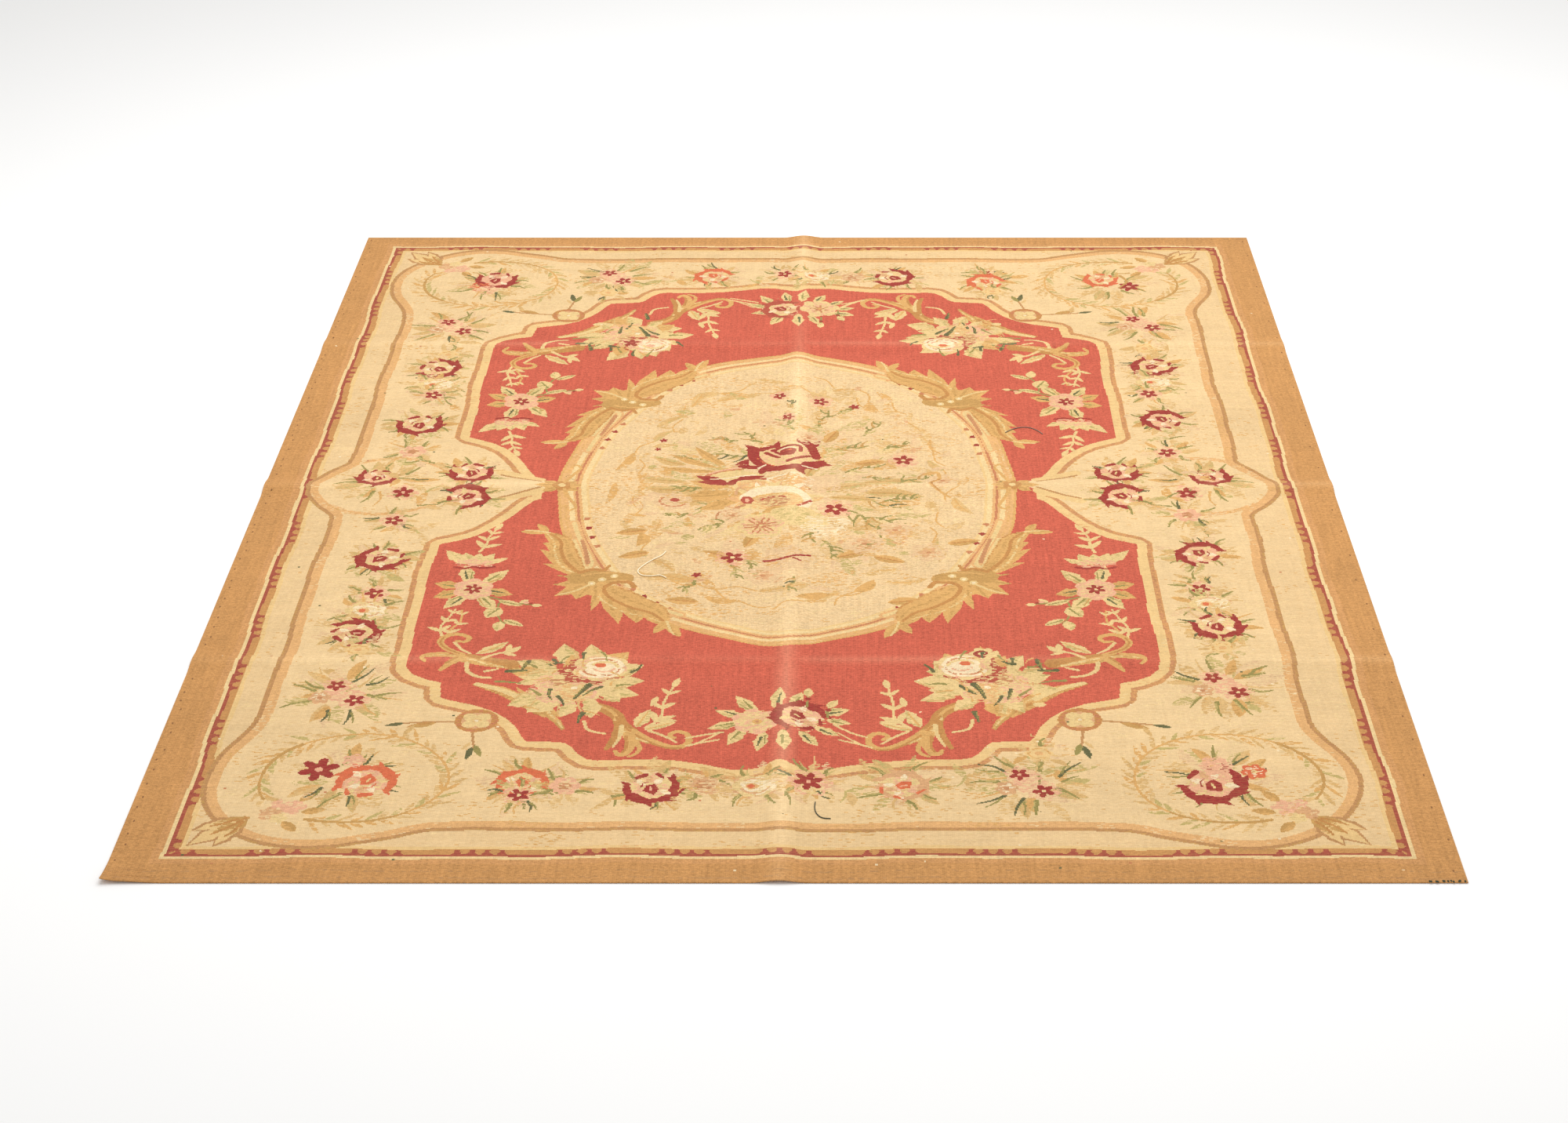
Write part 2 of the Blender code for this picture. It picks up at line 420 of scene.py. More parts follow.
def guard(pen):
    """The straight bands outside the frame, with the maroon line's teeth."""
    c = pen.chart
    cx, cy = GUARD
    for half_width, half_length, yarn in ((1151, 1472, "pinkish_tan"), (1135, 1457, "thread_cream"),
            (1127, 1449, "guard_maroon"), (1120, 1443, "tan"), (1105, 1427, "yellow_cream"),
            (1096, 1418, "pale")):
        c.fill(rectangle(half_width, half_length, cx, cy, SHEAR), yarn)
    # Groups of maroon teeth with round tan lobes between them, at even steps along each side
    for sign in (-1, 1):
        for count, along, half in ((13, True, 1120), (15, False, 1442)):
            groups = np.linspace(-half, half, count)
            for g in groups:
                for k in (-1.5, -0.5, 0.5, 1.5):
                    at = g + GUARD_TOOTH_STEP * k
                    if abs(at) > half - 4:
                        continue
                    if along:
                        x, y = cx + at - sign * SHEAR, cy + sign * 1443
                        tooth = [(x + u, y + sign * v) for u, v in GUARD_TOOTH]
                    else:
                        x, y = cx + sign * 1121 - SHEAR * at / 1450, cy + at
                        tooth = [(x + sign * v, y + u) for u, v in GUARD_TOOTH]
                    c.fill(tooth, "guard_maroon")


def frame_outline():
    """The middle of the peach band: straight sides, round corners, and a point at each side's middle."""
    corner = [(855 + 219 * math.cos(a), 1192 + 219 * math.sin(a))
        for a in np.radians(np.linspace(112, -22, 15))]
    quarter = [(0, 1351), (200, 1351), (420, 1350), (600, 1349), (655, 1353), (712, 1375)]
    quarter += corner
    quarter += [(1034, 1060), (1017, 1010), (1013, 940), (1013, 700), (1013, 450), (1013, 240),
        (1013, 150), (1020, 118), (1058, 72), (1086, 24), (1090, 6)]
    return four(smooth(quarter, 5), *FRAME)


def border_frame(pen):
    """The cream border in its peach band."""
    c = pen.chart
    outline = frame_outline()
    around(c, inset(outline, -13), 14, "brown_line")
    around(c, inset(outline, -17), 5, "olive", 0.35)
    c.fill(outline, "cream")
    around(c, outline, 19, "peach")
    around(c, inset(outline, -12), 5, "brown_line")
    # A pointed oval closes each side's bulge
    for sign in (-1, 1):
        half = [(1040, 92), (1010, 116), (970, 134), (920, 140), (870, 128), (820, 98), (780, 56), (762, 0)]
        whole = half + [(u, -v) for u, v in half[-2::-1]]
        line = smooth([(sign * u + FRAME[0], v + 15) for u, v in whole])
        c.line(line, 14, "peach", share=0.75)
        c.line(line + (sign * 4, 0), 5, "light_gold", share=0.35)
    # A leaf points into each corner
    for sx in (-1, 1):
        for sy in (-1, 1):
            p = Pen(c, FRAME[0] + sx * 985, FRAME[1] + sy * 1325, math.atan2(sy, sx))
            lobes = ((0, 0, 0, 124, 40), (14, 8, 17, 82, 24), (14, -8, -17, 82, 24))
            for grow, yarn in ((7, "brown_line"), (0, "yellow_cream")):
                for x, y, turn, length, width in lobes:
                    p.at(x - grow, y, turn).fill(leaf_shape(length + 2 * grow, width + 2 * grow, 3), yarn)
            for x, y, turn, length, width in lobes:
                p.at(x - 12, y, turn).fill(leaf_shape(length * 0.72, width * 0.62, 0), "olive", share=0.85)
                p.at(x, y, turn).line([(0, 0), (length * 0.35, 3), (length * 0.62, 0)], 7, "scroll_gold",
                    tip=4)


def field_outline():
    quarter = [(0, 1137), (14, 1143), (30, 1154), (62, 1163), (92, 1161), (140, 1146), (190, 1136),
        (250, 1132), (345, 1132), (366, 1126), (384, 1108), (400, 1082), (414, 1069), (440, 1066),
        (487, 1064), (490, 1063), (500, 1046), (514, 1012), (536, 978), (566, 948), (604, 926), (650, 911),
        (669, 904), (671, 902), (675, 874), (679, 848), (681, 846), (712, 836), (742, 818), (761, 794),
        (765, 768)]
    straight = [(765, 760), (765, 520), (765, 280), (765, 263), (763, 262)]
    ogee = [(730, 248), (700, 233), (668, 206), (640, 170), (615, 128), (596, 88), (578, 58), (562, 48)]
    return np.array(quarter + straight + ogee, float)


def red_field(pen):
    """The red field in its pale band."""
    c = pen.chart
    quarter = field_outline()
    outline = four(quarter, *FIELD)
    c.fill(inset(outline, -38), "cream")
    outer = inset(outline, -27)
    around(c, outer, 15, "pinkish_tan")
    around(c, outer, 11, "brown_pink", 0.5)
    around(c, inset(outline, -11), 22, "yellow_cream")
    c.fill(outline, "field_red")
    # The narrow waist beside the medallion is bridged by the frame's two points
    for sign in (-1, 1):
        tip = [(sign * 640, 60), (sign * 590, 40), (sign * 545, 16), (sign * 530, 0), (sign * 545, -14),
            (sign * 590, -38), (sign * 640, -58)]
        c.fill(np.array(tip) + (FIELD[0], 17), "cream")
        for v in (-1, 1):
            edge = np.array([(sign * 660, 70 * v), (sign * 604, 44 * v),
                (sign * 566, 27 * v)]) + (FIELD[0], 17)
            c.line(edge, 26, "yellow_cream", tip=22)
            c.line(edge + (0, -12 * v), 6, "brown_line", tip=5)


def oval_points(rx, ry, count=160):
    """The medallion's oval, drawn up to a slight point at each end."""
    a = np.linspace(0, 2 * math.pi, count, endpoint=False)
    point = 1 + 0.022 * np.maximum(0, 1 - np.abs(np.cos(a)) / 0.22)
    return np.column_stack([MEDALLION[0] + rx * np.cos(a), MEDALLION[1] + (ry - 6) * np.sin(a) * point])


def medallion_ring(pen):
    """The medallion's oval rings, from the outside in."""
    c = pen.chart
    for rx, ry, yarn in ((524, 716, "light_gold"), (518, 711, "peach"), (500, 697, "thread_cream"),
            (488, 688, "peach"), (483, 684, "rosy_brown"), (477, 679, "peach"), (470, 672, "thread_cream"),
            (458, 662, "yellow_cream"), (452, 656, "ground")):
        c.fill(oval_points(rx, ry), yarn)
    # The outer band is hatched in gold along its length
    around(c, oval_points(520, 713), 5, "light_gold", 0.6)
    around(c, oval_points(508, 703), 5, "light_gold", 0.35)
    # Small maroon ticks stand inside the ring in groups on the diagonals
    for base in (38, 142, 218, 322):
        for step in (-24, -20, -16, -12, 9, 13, 17, 21):
            a = math.radians(base + step)
            x, y = MEDALLION[0] + TICK_OVAL[0] * math.cos(a), MEDALLION[1] + TICK_OVAL[1] * math.sin(a)
            way = math.atan2(TICK_OVAL[1] * math.sin(a) / TICK_OVAL[0], math.cos(a))
            Pen(c, x, y, way).fill([(-12, -2), (2, -9), (5, 6), (-5, 7)],
                "maroon" if step % 3 else "rosy_brown")


def split_tip(pen, size=1.0):
    """The two-pointed end of a long leaf."""
    for heading, length, width in ((24, 62, 22), (-30, 46, 20)):
        leaf(pen.at(-8 * size, 0, heading, size), length, width, "light_gold")
    pen.line([(-10 * size, 0), (18 * size, 6 * size), (40 * size, 14 * size)], 6, "leaf_cream", tip=4)


def clasp(pen, sx, sy):
    """The clasp on the medallion's diagonal, with the long leaves that run from it along the ring."""
    p = Pen(pen.chart, MEDALLION[0], MEDALLION[1], 0 if sx > 0 else math.pi, 1, sx * sy)
    gold, shade, light = "light_gold", "scroll_gold", "leaf_cream"
    # The ring's pale line turns round before the clasp, with an orange pocket inside the turn
    for loop in (((474, 180), (450, 275), (418, 372), (432, 386), (446, 340), (468, 260)),
            ((214, 594), (285, 545), (340, 486), (350, 500), (312, 548), (240, 602))):
        p.line(loop, 24, "peach", tip=20)
        p.line(loop, 11, light, tip=9)
    p.line([(450, 262), (427, 368)], 8, "brown_pink", tip=11)
    p.line([(262, 574), (332, 508)], 8, "brown_pink", tip=11)
    # A leaf along the side and a larger one along the end, each with its rolled band towards the ring
    acanthus(p, [(436, 416), (474, 362), (492, 310), (498, 262), (528, 222)], (26, 42, 40, 42, 10), gold,
        shade, 4, 1, (14, 34, 34, 24, 0), 0.4)
    split_tip(p.at(534, 220, -25))
    acanthus(p, [(382, 476), (366, 520), (322, 560), (276, 584), (244, 624)], (30, 58, 66, 54, 14), gold,
        shade, 4, -1, (26, 56, 54, 40, 8), 0.6)
    split_tip(p.at(240, 632, 92), 1.15)
    # The clasp: a fan of leaves, a strap between two dark rolls, three pearls
    palmette(p.at(400, 444, 38), 108, 5, 108)
    p.line([(434, 432), (392, 430), (338, 440)], 56, "olive", tip=44)
    p.line([(438, 410), (408, 398), (388, 404), (378, 382)], 13, shade, tip=8)
    p.line([(314, 474), (326, 456), (352, 456), (376, 474), (378, 498)], 14, shade, tip=9)
    p.line([(430, 424), (400, 416), (360, 414)], 6, gold, tip=5)
    p.line([(408, 474), (372, 452), (334, 448)], 6, gold, tip=5)
    for u, v in ((361, 429), (386, 444), (407, 460)):
        p.spot(u, v, 9, 9, light)
        p.spot(u, v, 4, 4, "white_cream")


def side_knots(pen):
    """The gold knots where the medallion meets the borders' points."""
    c = pen.chart
    for sign in (-1, 1):
        p = Pen(c, MEDALLION[0] + sign * 514, MEDALLION[1] - 8, 0 if sign > 0 else math.pi, 1, sign)
        for turn, length in ((0, 62), (30, 50), (-30, 50), (150, 44), (-150, 44), (180, 48)):
            leaf(p.at(0, 0, turn), length, 26, "light_gold", teeth=2)
            p.at(0, 0, turn).line([(8, 0), (length * 0.7, 0)], 6, "olive", tip=4)
        p.fill(lobed(22, 5, 0.2), "scroll_gold")
        p.spot(0, 0, 8, 8, "leaf_cream")
        for v in (-1, 1):
            p.line([(-6, 16 * v), (-20, 60 * v), (-34, 96 * v), (-22, 112 * v), (-12, 98 * v)], 9,
                "light_gold", tip=6)


# A ground yarn, the lighter and the darker yarn streaked into it, and how much of each
GROUND_STREAKS = (("ground", "thread_cream", "peach", 0.30), ("cream", "thread_cream", "peach", 0.11),
    ("pale", "yellow_cream", "peach", 0.09), ("peach", "cream", "light_gold", 0.26),
    ("yellow_cream", "thread_cream", "peach", 0.12))


def cloud(chart, rng, wide, tall):
    """Soft random patches over the whole rug, from 0 to 1."""
    coarse = rng.random((int(LENGTH_MM / tall) + 2, int(WIDTH_MM / wide) + 2))
    across = np.linspace(0, coarse.shape[1] - 1.001, chart.columns)
    along = np.linspace(0, coarse.shape[0] - 1.001, chart.rows)
    i, j = across.astype(int), along.astype(int)[:, None]
    fx, fy = across - i, along[:, None] - j
    low = coarse[j, i] * (1 - fx) + coarse[j, i + 1] * fx
    high = coarse[j + 1, i] * (1 - fx) + coarse[j + 1, i + 1] * fx
    return low * (1 - fy) + high * fy


def streak_grounds(pen):
    """Works dashes of lighter and darker yarn into the grounds, thick in some places and thin in others."""
    c = pen.chart
    rng = np.random.default_rng(12)
    patches = 0.55 * cloud(c, rng, 46, 30) + 0.45 * cloud(c, rng, 150, 110)
    for ground, lighter, darker, share in GROUND_STREAKS:
        here = c.yarn == CODE[ground]
        pale = here & (c.dash < share * np.clip(3.4 * (patches - 0.52), 0, 1))
        dark = here & (c.dash > 1 - share * np.clip(3.4 * (0.46 - patches), 0, 1))
        c.yarn[pale] = CODE[lighter]
        c.yarn[dark] = CODE[darker]


def edges(pen):
    """Worked rows along the ends, and odd dark and pale tufts all over."""
    c = pen.chart
    chance = random.Random(9)
    for sign in (-1, 1):
        for inside, yarn, share in ((6, "tan", 0.8), (13, "brown_line", 0.45), (26, "tan", 0.5),
                (34, "brown_line", 0.3)):
            y = sign * (LENGTH_MM / 2 - inside)
            c.line([(-WIDTH_MM / 2, y), (WIDTH_MM / 2, y)], 4, yarn, share=share)
    for _ in range(TUFTS):
        x, y = chance.uniform(-1200, 1200), chance.uniform(-1500, 1500)
        c.fill([(x - 2, y - 2), (x + 2.6, y - 2), (x + 2, y + 2.4), (x - 2.4, y + 2)],
            chance.choice(("white_cream", "white_cream", "rosy_brown", "dark_green")))


def draw_design(pen):
    guard(pen)
    border_frame(pen)
    red_field(pen)
    medallion_ring(pen)
    streak_grounds(pen)
    motifs(pen)
    for sx in (-1, 1):
        for sy in (-1, 1):
            clasp(pen, sx, sy)
    side_knots(pen)
    edges(pen)


# Bouquets
def quarter_pen(chart, centre, sx, sy):
    """A pen whose directions both point outwards in one quarter of the design."""
    return Pen(chart, centre[0], centre[1], 0 if sx > 0 else math.pi, 1, sx * sy)


def nosegay(pen, reach, seed, pale=9, green=6, shades=("pale_leaf", "light_gold", "olive_pale")):
    """The pale and green blades that lie behind a flower, over a cloud of fainter leaves."""
    chance = random.Random(seed)
    for k in range(pale + 2):
        heading = 360 * (k + 0.5) / (pale + 2) + chance.uniform(-20, 20)
        p = pen.at(0, 0, heading).at(reach * chance.uniform(0.3, 0.6), 0, chance.uniform(-30, 30))
        leaf(p, reach * chance.uniform(0.6, 1.0), reach * chance.uniform(0.28, 0.42),
            chance.choice(("pale_leaf", "green_pale", "pink_pale", "olive_pale")),
            bend=chance.uniform(-8, 8), share=0.5)
    for k in range(pale):
        heading = 360 * k / pale + chance.uniform(-18, 18)
        p = pen.at(0, 0, heading).at(reach * chance.uniform(0.35, 0.6), 0, chance.uniform(-25, 25))
        length = reach * chance.uniform(0.5, 0.85)
        if chance.random() < 0.6:
            leaf(p, length, length * chance.uniform(0.28, 0.42), chance.choice(shades),
                bend=chance.uniform(-6, 6))
        else:
            blade(p, length, 7, chance.choice(shades), chance.uniform(-8, 8))
    for k in range(green):
        heading = 360 * (k + 0.4) / green + chance.uniform(-22, 22)
        p = pen.at(0, 0, heading).at(reach * chance.uniform(0.5, 0.68), 0, chance.uniform(-30, 30))
        length = reach * chance.uniform(0.4, 0.66)
        shade = chance.choice(("green", "dark_green", "green", "green"))
        blade(p, length, 10 if shade == "green" else 8, shade, chance.uniform(-7, 7))
        if shade == "dark_green":
            blade(p.at(length * 0.2, 5, 16), length * 0.7, 6, "green", 2)
        else:
            blade(p.at(length * 0.1, -4, -10), length * 0.6, 5, "green_pale", 2)


def corner_bouquet(pen, seed, kind):
    """The large bouquet in each corner of the red field, with its leaves outside and its flowers on top."""
    chance = random.Random(seed)
    light, gold = "leaf_cream", "light_gold"
    # Long gold leaves run out behind the flowers, towards the field's corner
    p = pen.at(410, 850)
    acanthus(pen, [(452, 968), (500, 922), (552, 878), (612, 850)], (30, 34, 26, 8), gold, "scroll_gold",
        2, side=-1, roll=(14, 16, 10, 2))
    pen.line([(606, 848), (556, 870), (508, 906)], 12, light, tip=16)
    acanthus(pen, [(470, 920), (462, 962), (442, 992), (424, 1022)], (24, 26, 20, 5), gold, "olive", 2,
        side=1)
    # Broad leaves all round, in two rows
    for start, end, rx, ry, count, length in ((150, 345, 92, 88, 8, 78), (60, 150, 70, 74, 4, 74),
            (-15, 50, 90, 66, 3, 86), (180, 330, 62, 60, 5, 70)):
        for k in range(count):
            heading = start + (end - start) * k / max(count - 1, 1) + chance.uniform(-6, 6)
            a = math.radians(heading)
            q = p.at(rx * 0.72 * math.cos(a), ry * 0.78 * math.sin(a), heading + chance.uniform(-24, 24),
                chance.uniform(0.72, 1.22))
            leaf(q, length, chance.uniform(38, 54), light if chance.random() < 0.75 else gold, teeth=2,
                bend=chance.uniform(-9, 9))
            q.line([(length * 0.2, -16), (length * 0.55, -15), (length * 0.85, -5)], 5, "olive_pale", tip=4)
    p.fill(lobed(84, 9, 0.16, squash=0.86), light)
    # Pinkish petals with a brown heart
    p.at(20, 14).fill(lobed(78, 8, 0.18, 0.2, squash=0.86), "pink", share=0.5)
    p.at(30, -12).fill(lobed(26, 6, 0.3), "brown_pink", share=0.55)
    p.at(0, 36).fill(lobed(40, 6, 0.3), "peach", share=0.5)
    p.spot(2, 16, 7, 6, "white_cream")
    # The large pale rose lies in a rosy shadow
    q = p.at(-40, -58)
    q.fill(lobed(70, 7, 0.26, squash=0.74) + (16, 12), "rosy_shade", share=0.7)
    q.fill(lobed(60, 6, 0.2, 0.5, squash=0.8), light)
    q.fill(lobed(56, 6, 0.22, 0.9, squash=0.8), "pink", share=0.4)
    q.fill(lobed(42, 6, 0.16, 0.5, squash=0.76) + (-8, 2), "white_cream")
    for start, end, r in ((190, 300, 46), (20, 110, 44), (120, 170, 48)):
        q.line(arc(r, start, end, 0.76, 5), 7, "white_cream", tip=5)
        q.line(arc(r - 8, start, end, 0.76, 5), 5, "rosy_brown", tip=4, share=0.6)
    q.line(arc(28, 190, 330, 0.66, 5) + (-8, 0), 7, light)
    q.line(arc(22, 20, 170, 0.6, 5) + (-8, 0), 5, "pink", share=0.8)
    q.spot(0, -8, 12, 7, "coral" if kind != "star" else "pink")
    if kind == "star":
        star(pen.at(420, 800), 22, 5, "maroon", "rosy_shade", "pink")
    elif kind == "maroon":
        pen.at(408, 742).fill(lobed(30, 6, 0.3), light)
        pen.at(410, 744).line(arc(17, 100, 260, 0.9), 12, "maroon", tip=8)
        pen.at(404, 740).line(arc(12, -60, 60, 0.9), 7, "maroon", tip=5)
    # Strokes of green lie over the leaves
    for u, v, heading, length, width in ((518, 768, 72, 30, 11), (556, 800, 182, 38, 11),
            (472, 782, 195, 26, 9), (468, 764, 100, 20, 9), (408, 734, 92, 32, 9), (304, 806, 232, 30, 9),
            (384, 856, 66, 56, 15), (358, 862, 45, 44, 10), (459, 872, 100, 38, 10),
            (440, 898, 112, 38, 9), (386, 960, 78, 36, 12)):
        p = pen.at(u, v, heading)
        blade(p, length, width, "dark_green", chance.uniform(-4, 4))
        if width > 9:
            p.line([(length * 0.1, -width * 0.3), (length * 0.9, -width * 0.2)], 4, "green", share=0.6)
    for u, v, heading, length, width in ((570, 838, 170, 50, 9), (478, 892, -48, 34, 9),
            (372, 730, 108, 42, 7), (326, 856, 180, 32, 8), (500, 790, -25, 30, 7), (440, 752, 60, 26, 7)):
        blade(pen.at(u, v, heading), length, width, "green", chance.uniform(-4, 4))
    for _ in range(14):
        u, v = chance.uniform(330, 520), chance.uniform(760, 960)
        blade(pen.at(u, v, chance.uniform(0, 360)), chance.uniform(18, 34), 5,
            chance.choice((gold, gold, "peach", "olive_pale")), 3)
    pen.spot(515, 928, 13, 9, light)


def scroll_end(pen):
    """The gold scroll towards the rug's end, with its curl, its feet and its twig."""
    gold, light, shade = "light_gold", "leaf_cream", "scroll_gold"
    pen.line([(382, 990), (372, 1022), (338, 1036)], 8, light, tip=6)
    # The arched body, thick where it leaves the bouquet
    pen.line([(372, 930), (340, 946), (318, 970), (306, 1004), (284, 1034)], 30, shade, tip=26)
    pen.line([(352, 934), (326, 956), (312, 992), (292, 1024)], 9, gold, tip=7)
    pen.line([(284, 1030), (254, 1060), (216, 1086), (190, 1088), (174, 1068), (180, 1040), (200, 1034),
        (212, 1046), (202, 1056)], 17, gold, tip=9)
    pen.line([(282, 1040), (250, 1072), (214, 1092), (188, 1092)], 7, shade, tip=5)
    acanthus(pen, [(318, 976), (300, 1012), (276, 1046), (246, 1072)], (10, 26, 22, 6), gold, shade, 2,
        side=-1)
    # Two feet curl away behind
    pen.line([(310, 1000), (316, 1046), (330, 1092)], 26, shade, tip=10)
    pen.line([(306, 1010), (308, 1050), (318, 1086)], 11, light, tip=5)
    pen.line([(290, 1042), (284, 1080), (292, 1110), (306, 1112), (312, 1100)], 24, gold, tip=8)
    pen.line([(296, 1050), (292, 1086), (298, 1106)], 8, shade, tip=5)
    pen.line([(276, 1066), (266, 1092), (272, 1112), (286, 1122)], 12, gold, tip=6)
    # Shoots and the twig
    leaf(pen.at(278, 1016, 248), 72, 34, light, gold, teeth=3)
    leaf(pen.at(262, 1026, 205), 70, 20, light, gold)
    pen.line([(252, 1030), (222, 1050), (198, 1072)], 8, light, tip=5)
    twig(pen, [(258, 1018), (230, 980), (226, 926), (214, 868)], 3, 42, 15, light, light, thick=8)
    for u, v, heading in ((236, 990, 205), (250, 938, 255)):
        leaf(pen.at(u, v, heading), 40, 14, light)
    # A thin stem goes on to the bouquet in the middle of the end
    pen.line([(178, 1084), (150, 1070), (118, 1058)], 6, light, tip=5)
    pen.line([(160, 1074), (136, 1052), (116, 1032)], 5, light, tip=4)


def scroll_side(pen):
    """The gold scroll towards the rug's side."""
    gold, light, shade = "light_gold", "leaf_cream", "scroll_gold"
    pen.line([(548, 778), (592, 768), (640, 752)], 30, shade, tip=26)
    acanthus(pen, [(556, 784), (606, 764), (650, 748), (696, 740), (730, 752)], (14, 26, 26, 20, 8), gold,
        shade, 2, side=1)
    pen.line([(690, 738), (722, 742), (736, 758), (728, 774)], 14, gold, tip=8)
    pen.line([(655, 758), (676, 780), (690, 800)], 22, gold, tip=8)
    pen.line([(664, 756), (684, 780)], 7, shade, tip=5)
    pen.line([(656, 742), (690, 716), (706, 688), (694, 662), (668, 656), (648, 668), (654, 684),
        (672, 684)], 17, gold, tip=9)
    pen.line([(664, 736), (694, 712), (706, 690), (700, 668)], 6, shade, tip=4)
    pen.line([(676, 690), (660, 716), (640, 736)], 8, light, tip=6)
    leaf(pen.at(628, 738, 222), 84, 30, light, gold, teeth=3)
    pen.line([(612, 758), (586, 734), (560, 722)], 9, light, tip=7)
    for u, v, heading, length in ((582, 732, 200, 40), (566, 724, 262, 34), (574, 728, 150, 34),
            (560, 722, 225, 30)):
        leaf(pen.at(u, v, heading), length, 14, light)
    pen.line([(640, 776), (634, 802), (610, 820), (584, 824)], 10, light, tip=7)
    pen.line([(600, 800), (576, 792)], 7, light, tip=5)


def side_spray(pen):
    """The pink flower of the field's long side, with its leaves, carnation, vines and budding branch."""
    light, gold = "leaf_cream", "light_gold"
    # Two vines climb from the scroll
    twig(pen, [(704, 668), (712, 628), (700, 590), (690, 552)], 3, 34, 12, light, light, thick=7,
        end_leaf=False)
    twig(pen, [(692, 666), (690, 640), (672, 600), (676, 556)], 3, 30, 11, gold, light, thick=7,
        end_leaf=False)
    # The branch with its bud and leaves, on the medallion's side
    pen.line([(640, 492), (600, 508), (568, 520), (530, 528)], 6, "green", tip=5)
    pen.line([(598, 510), (604, 548), (592, 590), (580, 606)], 5, "green", tip=4)
    for x, y, heading, length, width in ((598, 540, 60, 50, 40), (590, 598, 85, 40, 26),
            (586, 590, 150, 52, 20), (604, 512, 160, 56, 20), (534, 528, 170, 22, 14),
            (560, 520, 215, 24, 12)):
        leaf(pen.at(x, y, heading), length, width, light, "green" if length > 40 else None)
    pen.spot(546, 518, 6, 6, "pink")
    pen.spot(536, 522, 4, 4, "maroon")
    # Six leaves round the flower
    for k, (heading, length) in enumerate(((18, 66), (62, 74), (116, 78), (172, 62), (226, 84), (292, 84),
            (338, 64))):
        p = pen.at(661, 466, heading).at(26, 0, 8 * (-1) ** k)
        leaf(p, length, 38, light if k % 3 else gold, teeth=2)
        blade(p.at(length * 0.28, 2), length * 0.42, 7, "dark_green" if k % 2 else "green")
        blade(p.at(length * 0.2, -6, -10), length * 0.4, 5, "green" if k % 2 else "olive")
    pen.at(661, 466).fill(lobed(46, 6, 0.22, 0.5), "pink")
    pen.at(661, 466).fill(lobed(40, 6, 0.3, 0.5), light, share=0.35)
    star(pen.at(661, 466), 21, 6, "maroon", "thread_cream")
    # The carnation: a fan of petals over a maroon edge, and its twig
    p = pen.at(674, 362, 270)
    for turn, length, width in ((40, 88, 34), (20, 58, 34), (-4, 52, 34), (-28, 58, 32), (-56, 58, 22)):
        leaf(p.at(4, turn * 0.4, turn), length, width, light, teeth=2)
    p.fill([(-6, -40), (14, -44), (26, -28), (24, -8), (36, 4), (24, 20), (26, 38), (4, 42), (-8, 16)],
        "pink", share=0.55)
    p.line([(-6, -46), (-12, -22), (-6, -2), (-14, 16), (-6, 40)], 8, "maroon", tip=6)
    twig(pen, [(672, 300), (662, 268), (660, 236), (648, 202)], 3, 42, 14, light, light, thick=7)


def end_bouquet(pen, kind, seed):
    """The bouquet in the middle of each end; y runs outwards."""
    light = "leaf_cream"
    chance = random.Random(seed)
    leaves = ((-70, 990, 160, 78, 30), (-60, 975, 200, 70, 30), (-66, 1010, 120, 76, 34),
        (-30, 1030, 100, 70, 32), (6, 1030, 85, 76, 34), (40, 1030, 60, 62, 30), (-40, 960, 240, 82, 34),
        (-4, 950, 268, 84, 34), (26, 945, 290, 64, 30), (84, 965, 345, 62, 34), (96, 985, 10, 50, 26),
        (70, 1010, 35, 60, 26))
    for k, (x, y, heading, length, width) in enumerate(leaves):
        p = pen.at(x, y, heading + chance.uniform(-6, 6), 1)
        leaf(p, length, width, light, teeth=2)
        blade(p.at(length * 0.3, 2, 3), length * 0.42, 7, "dark_green" if k % 2 else "green")
        if k % 3 == 0:
            blade(p.at(length * 0.2, -5, -8), length * 0.4, 5, "green")
    pen.line([(110, 1000), (140, 1030), (172, 1048)], 6, light, tip=5)
    pen.line([(-110, 1030), (-150, 1044), (-180, 1056)], 6, light, tip=5)
    if kind == "maroon":
        pen.at(-46, 990).fill(lobed(48, 6, 0.2, 0.4), "pink")
        pen.at(-46, 990).fill(lobed(44, 6, 0.24, 0.9), light, share=0.55)
        pen.spot(-42, 990, 10, 9, "light_gold")
        pen.spot(-42, 990, 4, 4, "brown_pink")
        rose(pen.at(42, 976), 56, petal="pink", blush="leaf_cream", opening=45)
    else:
        rose(pen.at(-46, 988), 54, rim="rosy_shade", petal="leaf_cream", blush="pink", opening=-30)
        p = pen.at(52, 990)
        p.fill(lobed(54, 6, 0.26, 0.2), light)
        p.fill(lobed(46, 6, 0.3, 0.6), "pink", share=0.4)
        for k in range(7):
            p.at(0, 0, 25 + 51 * k).line([(10, 0), (24, 2)], 7, "brown_pink", tip=5, share=0.85)
        p.fill(lobed(12, 5, 0.2), "rosy_brown", share=0.7)
        p.spot(0, 2, 5, 5, "light_gold")
    for x, y, heading in ((58, 900, 265), (100, 940, 300)):
        pen.line([(x, y + 36), (x, y)], 5, "green", tip=4)
        leaf(pen.at(x, y, heading), 34, 20, light)
        pen.spot(x, y + 8, 6, 5, "maroon")


# Border
WREATH = (178, 151)
WREATH_PAIRS = 38


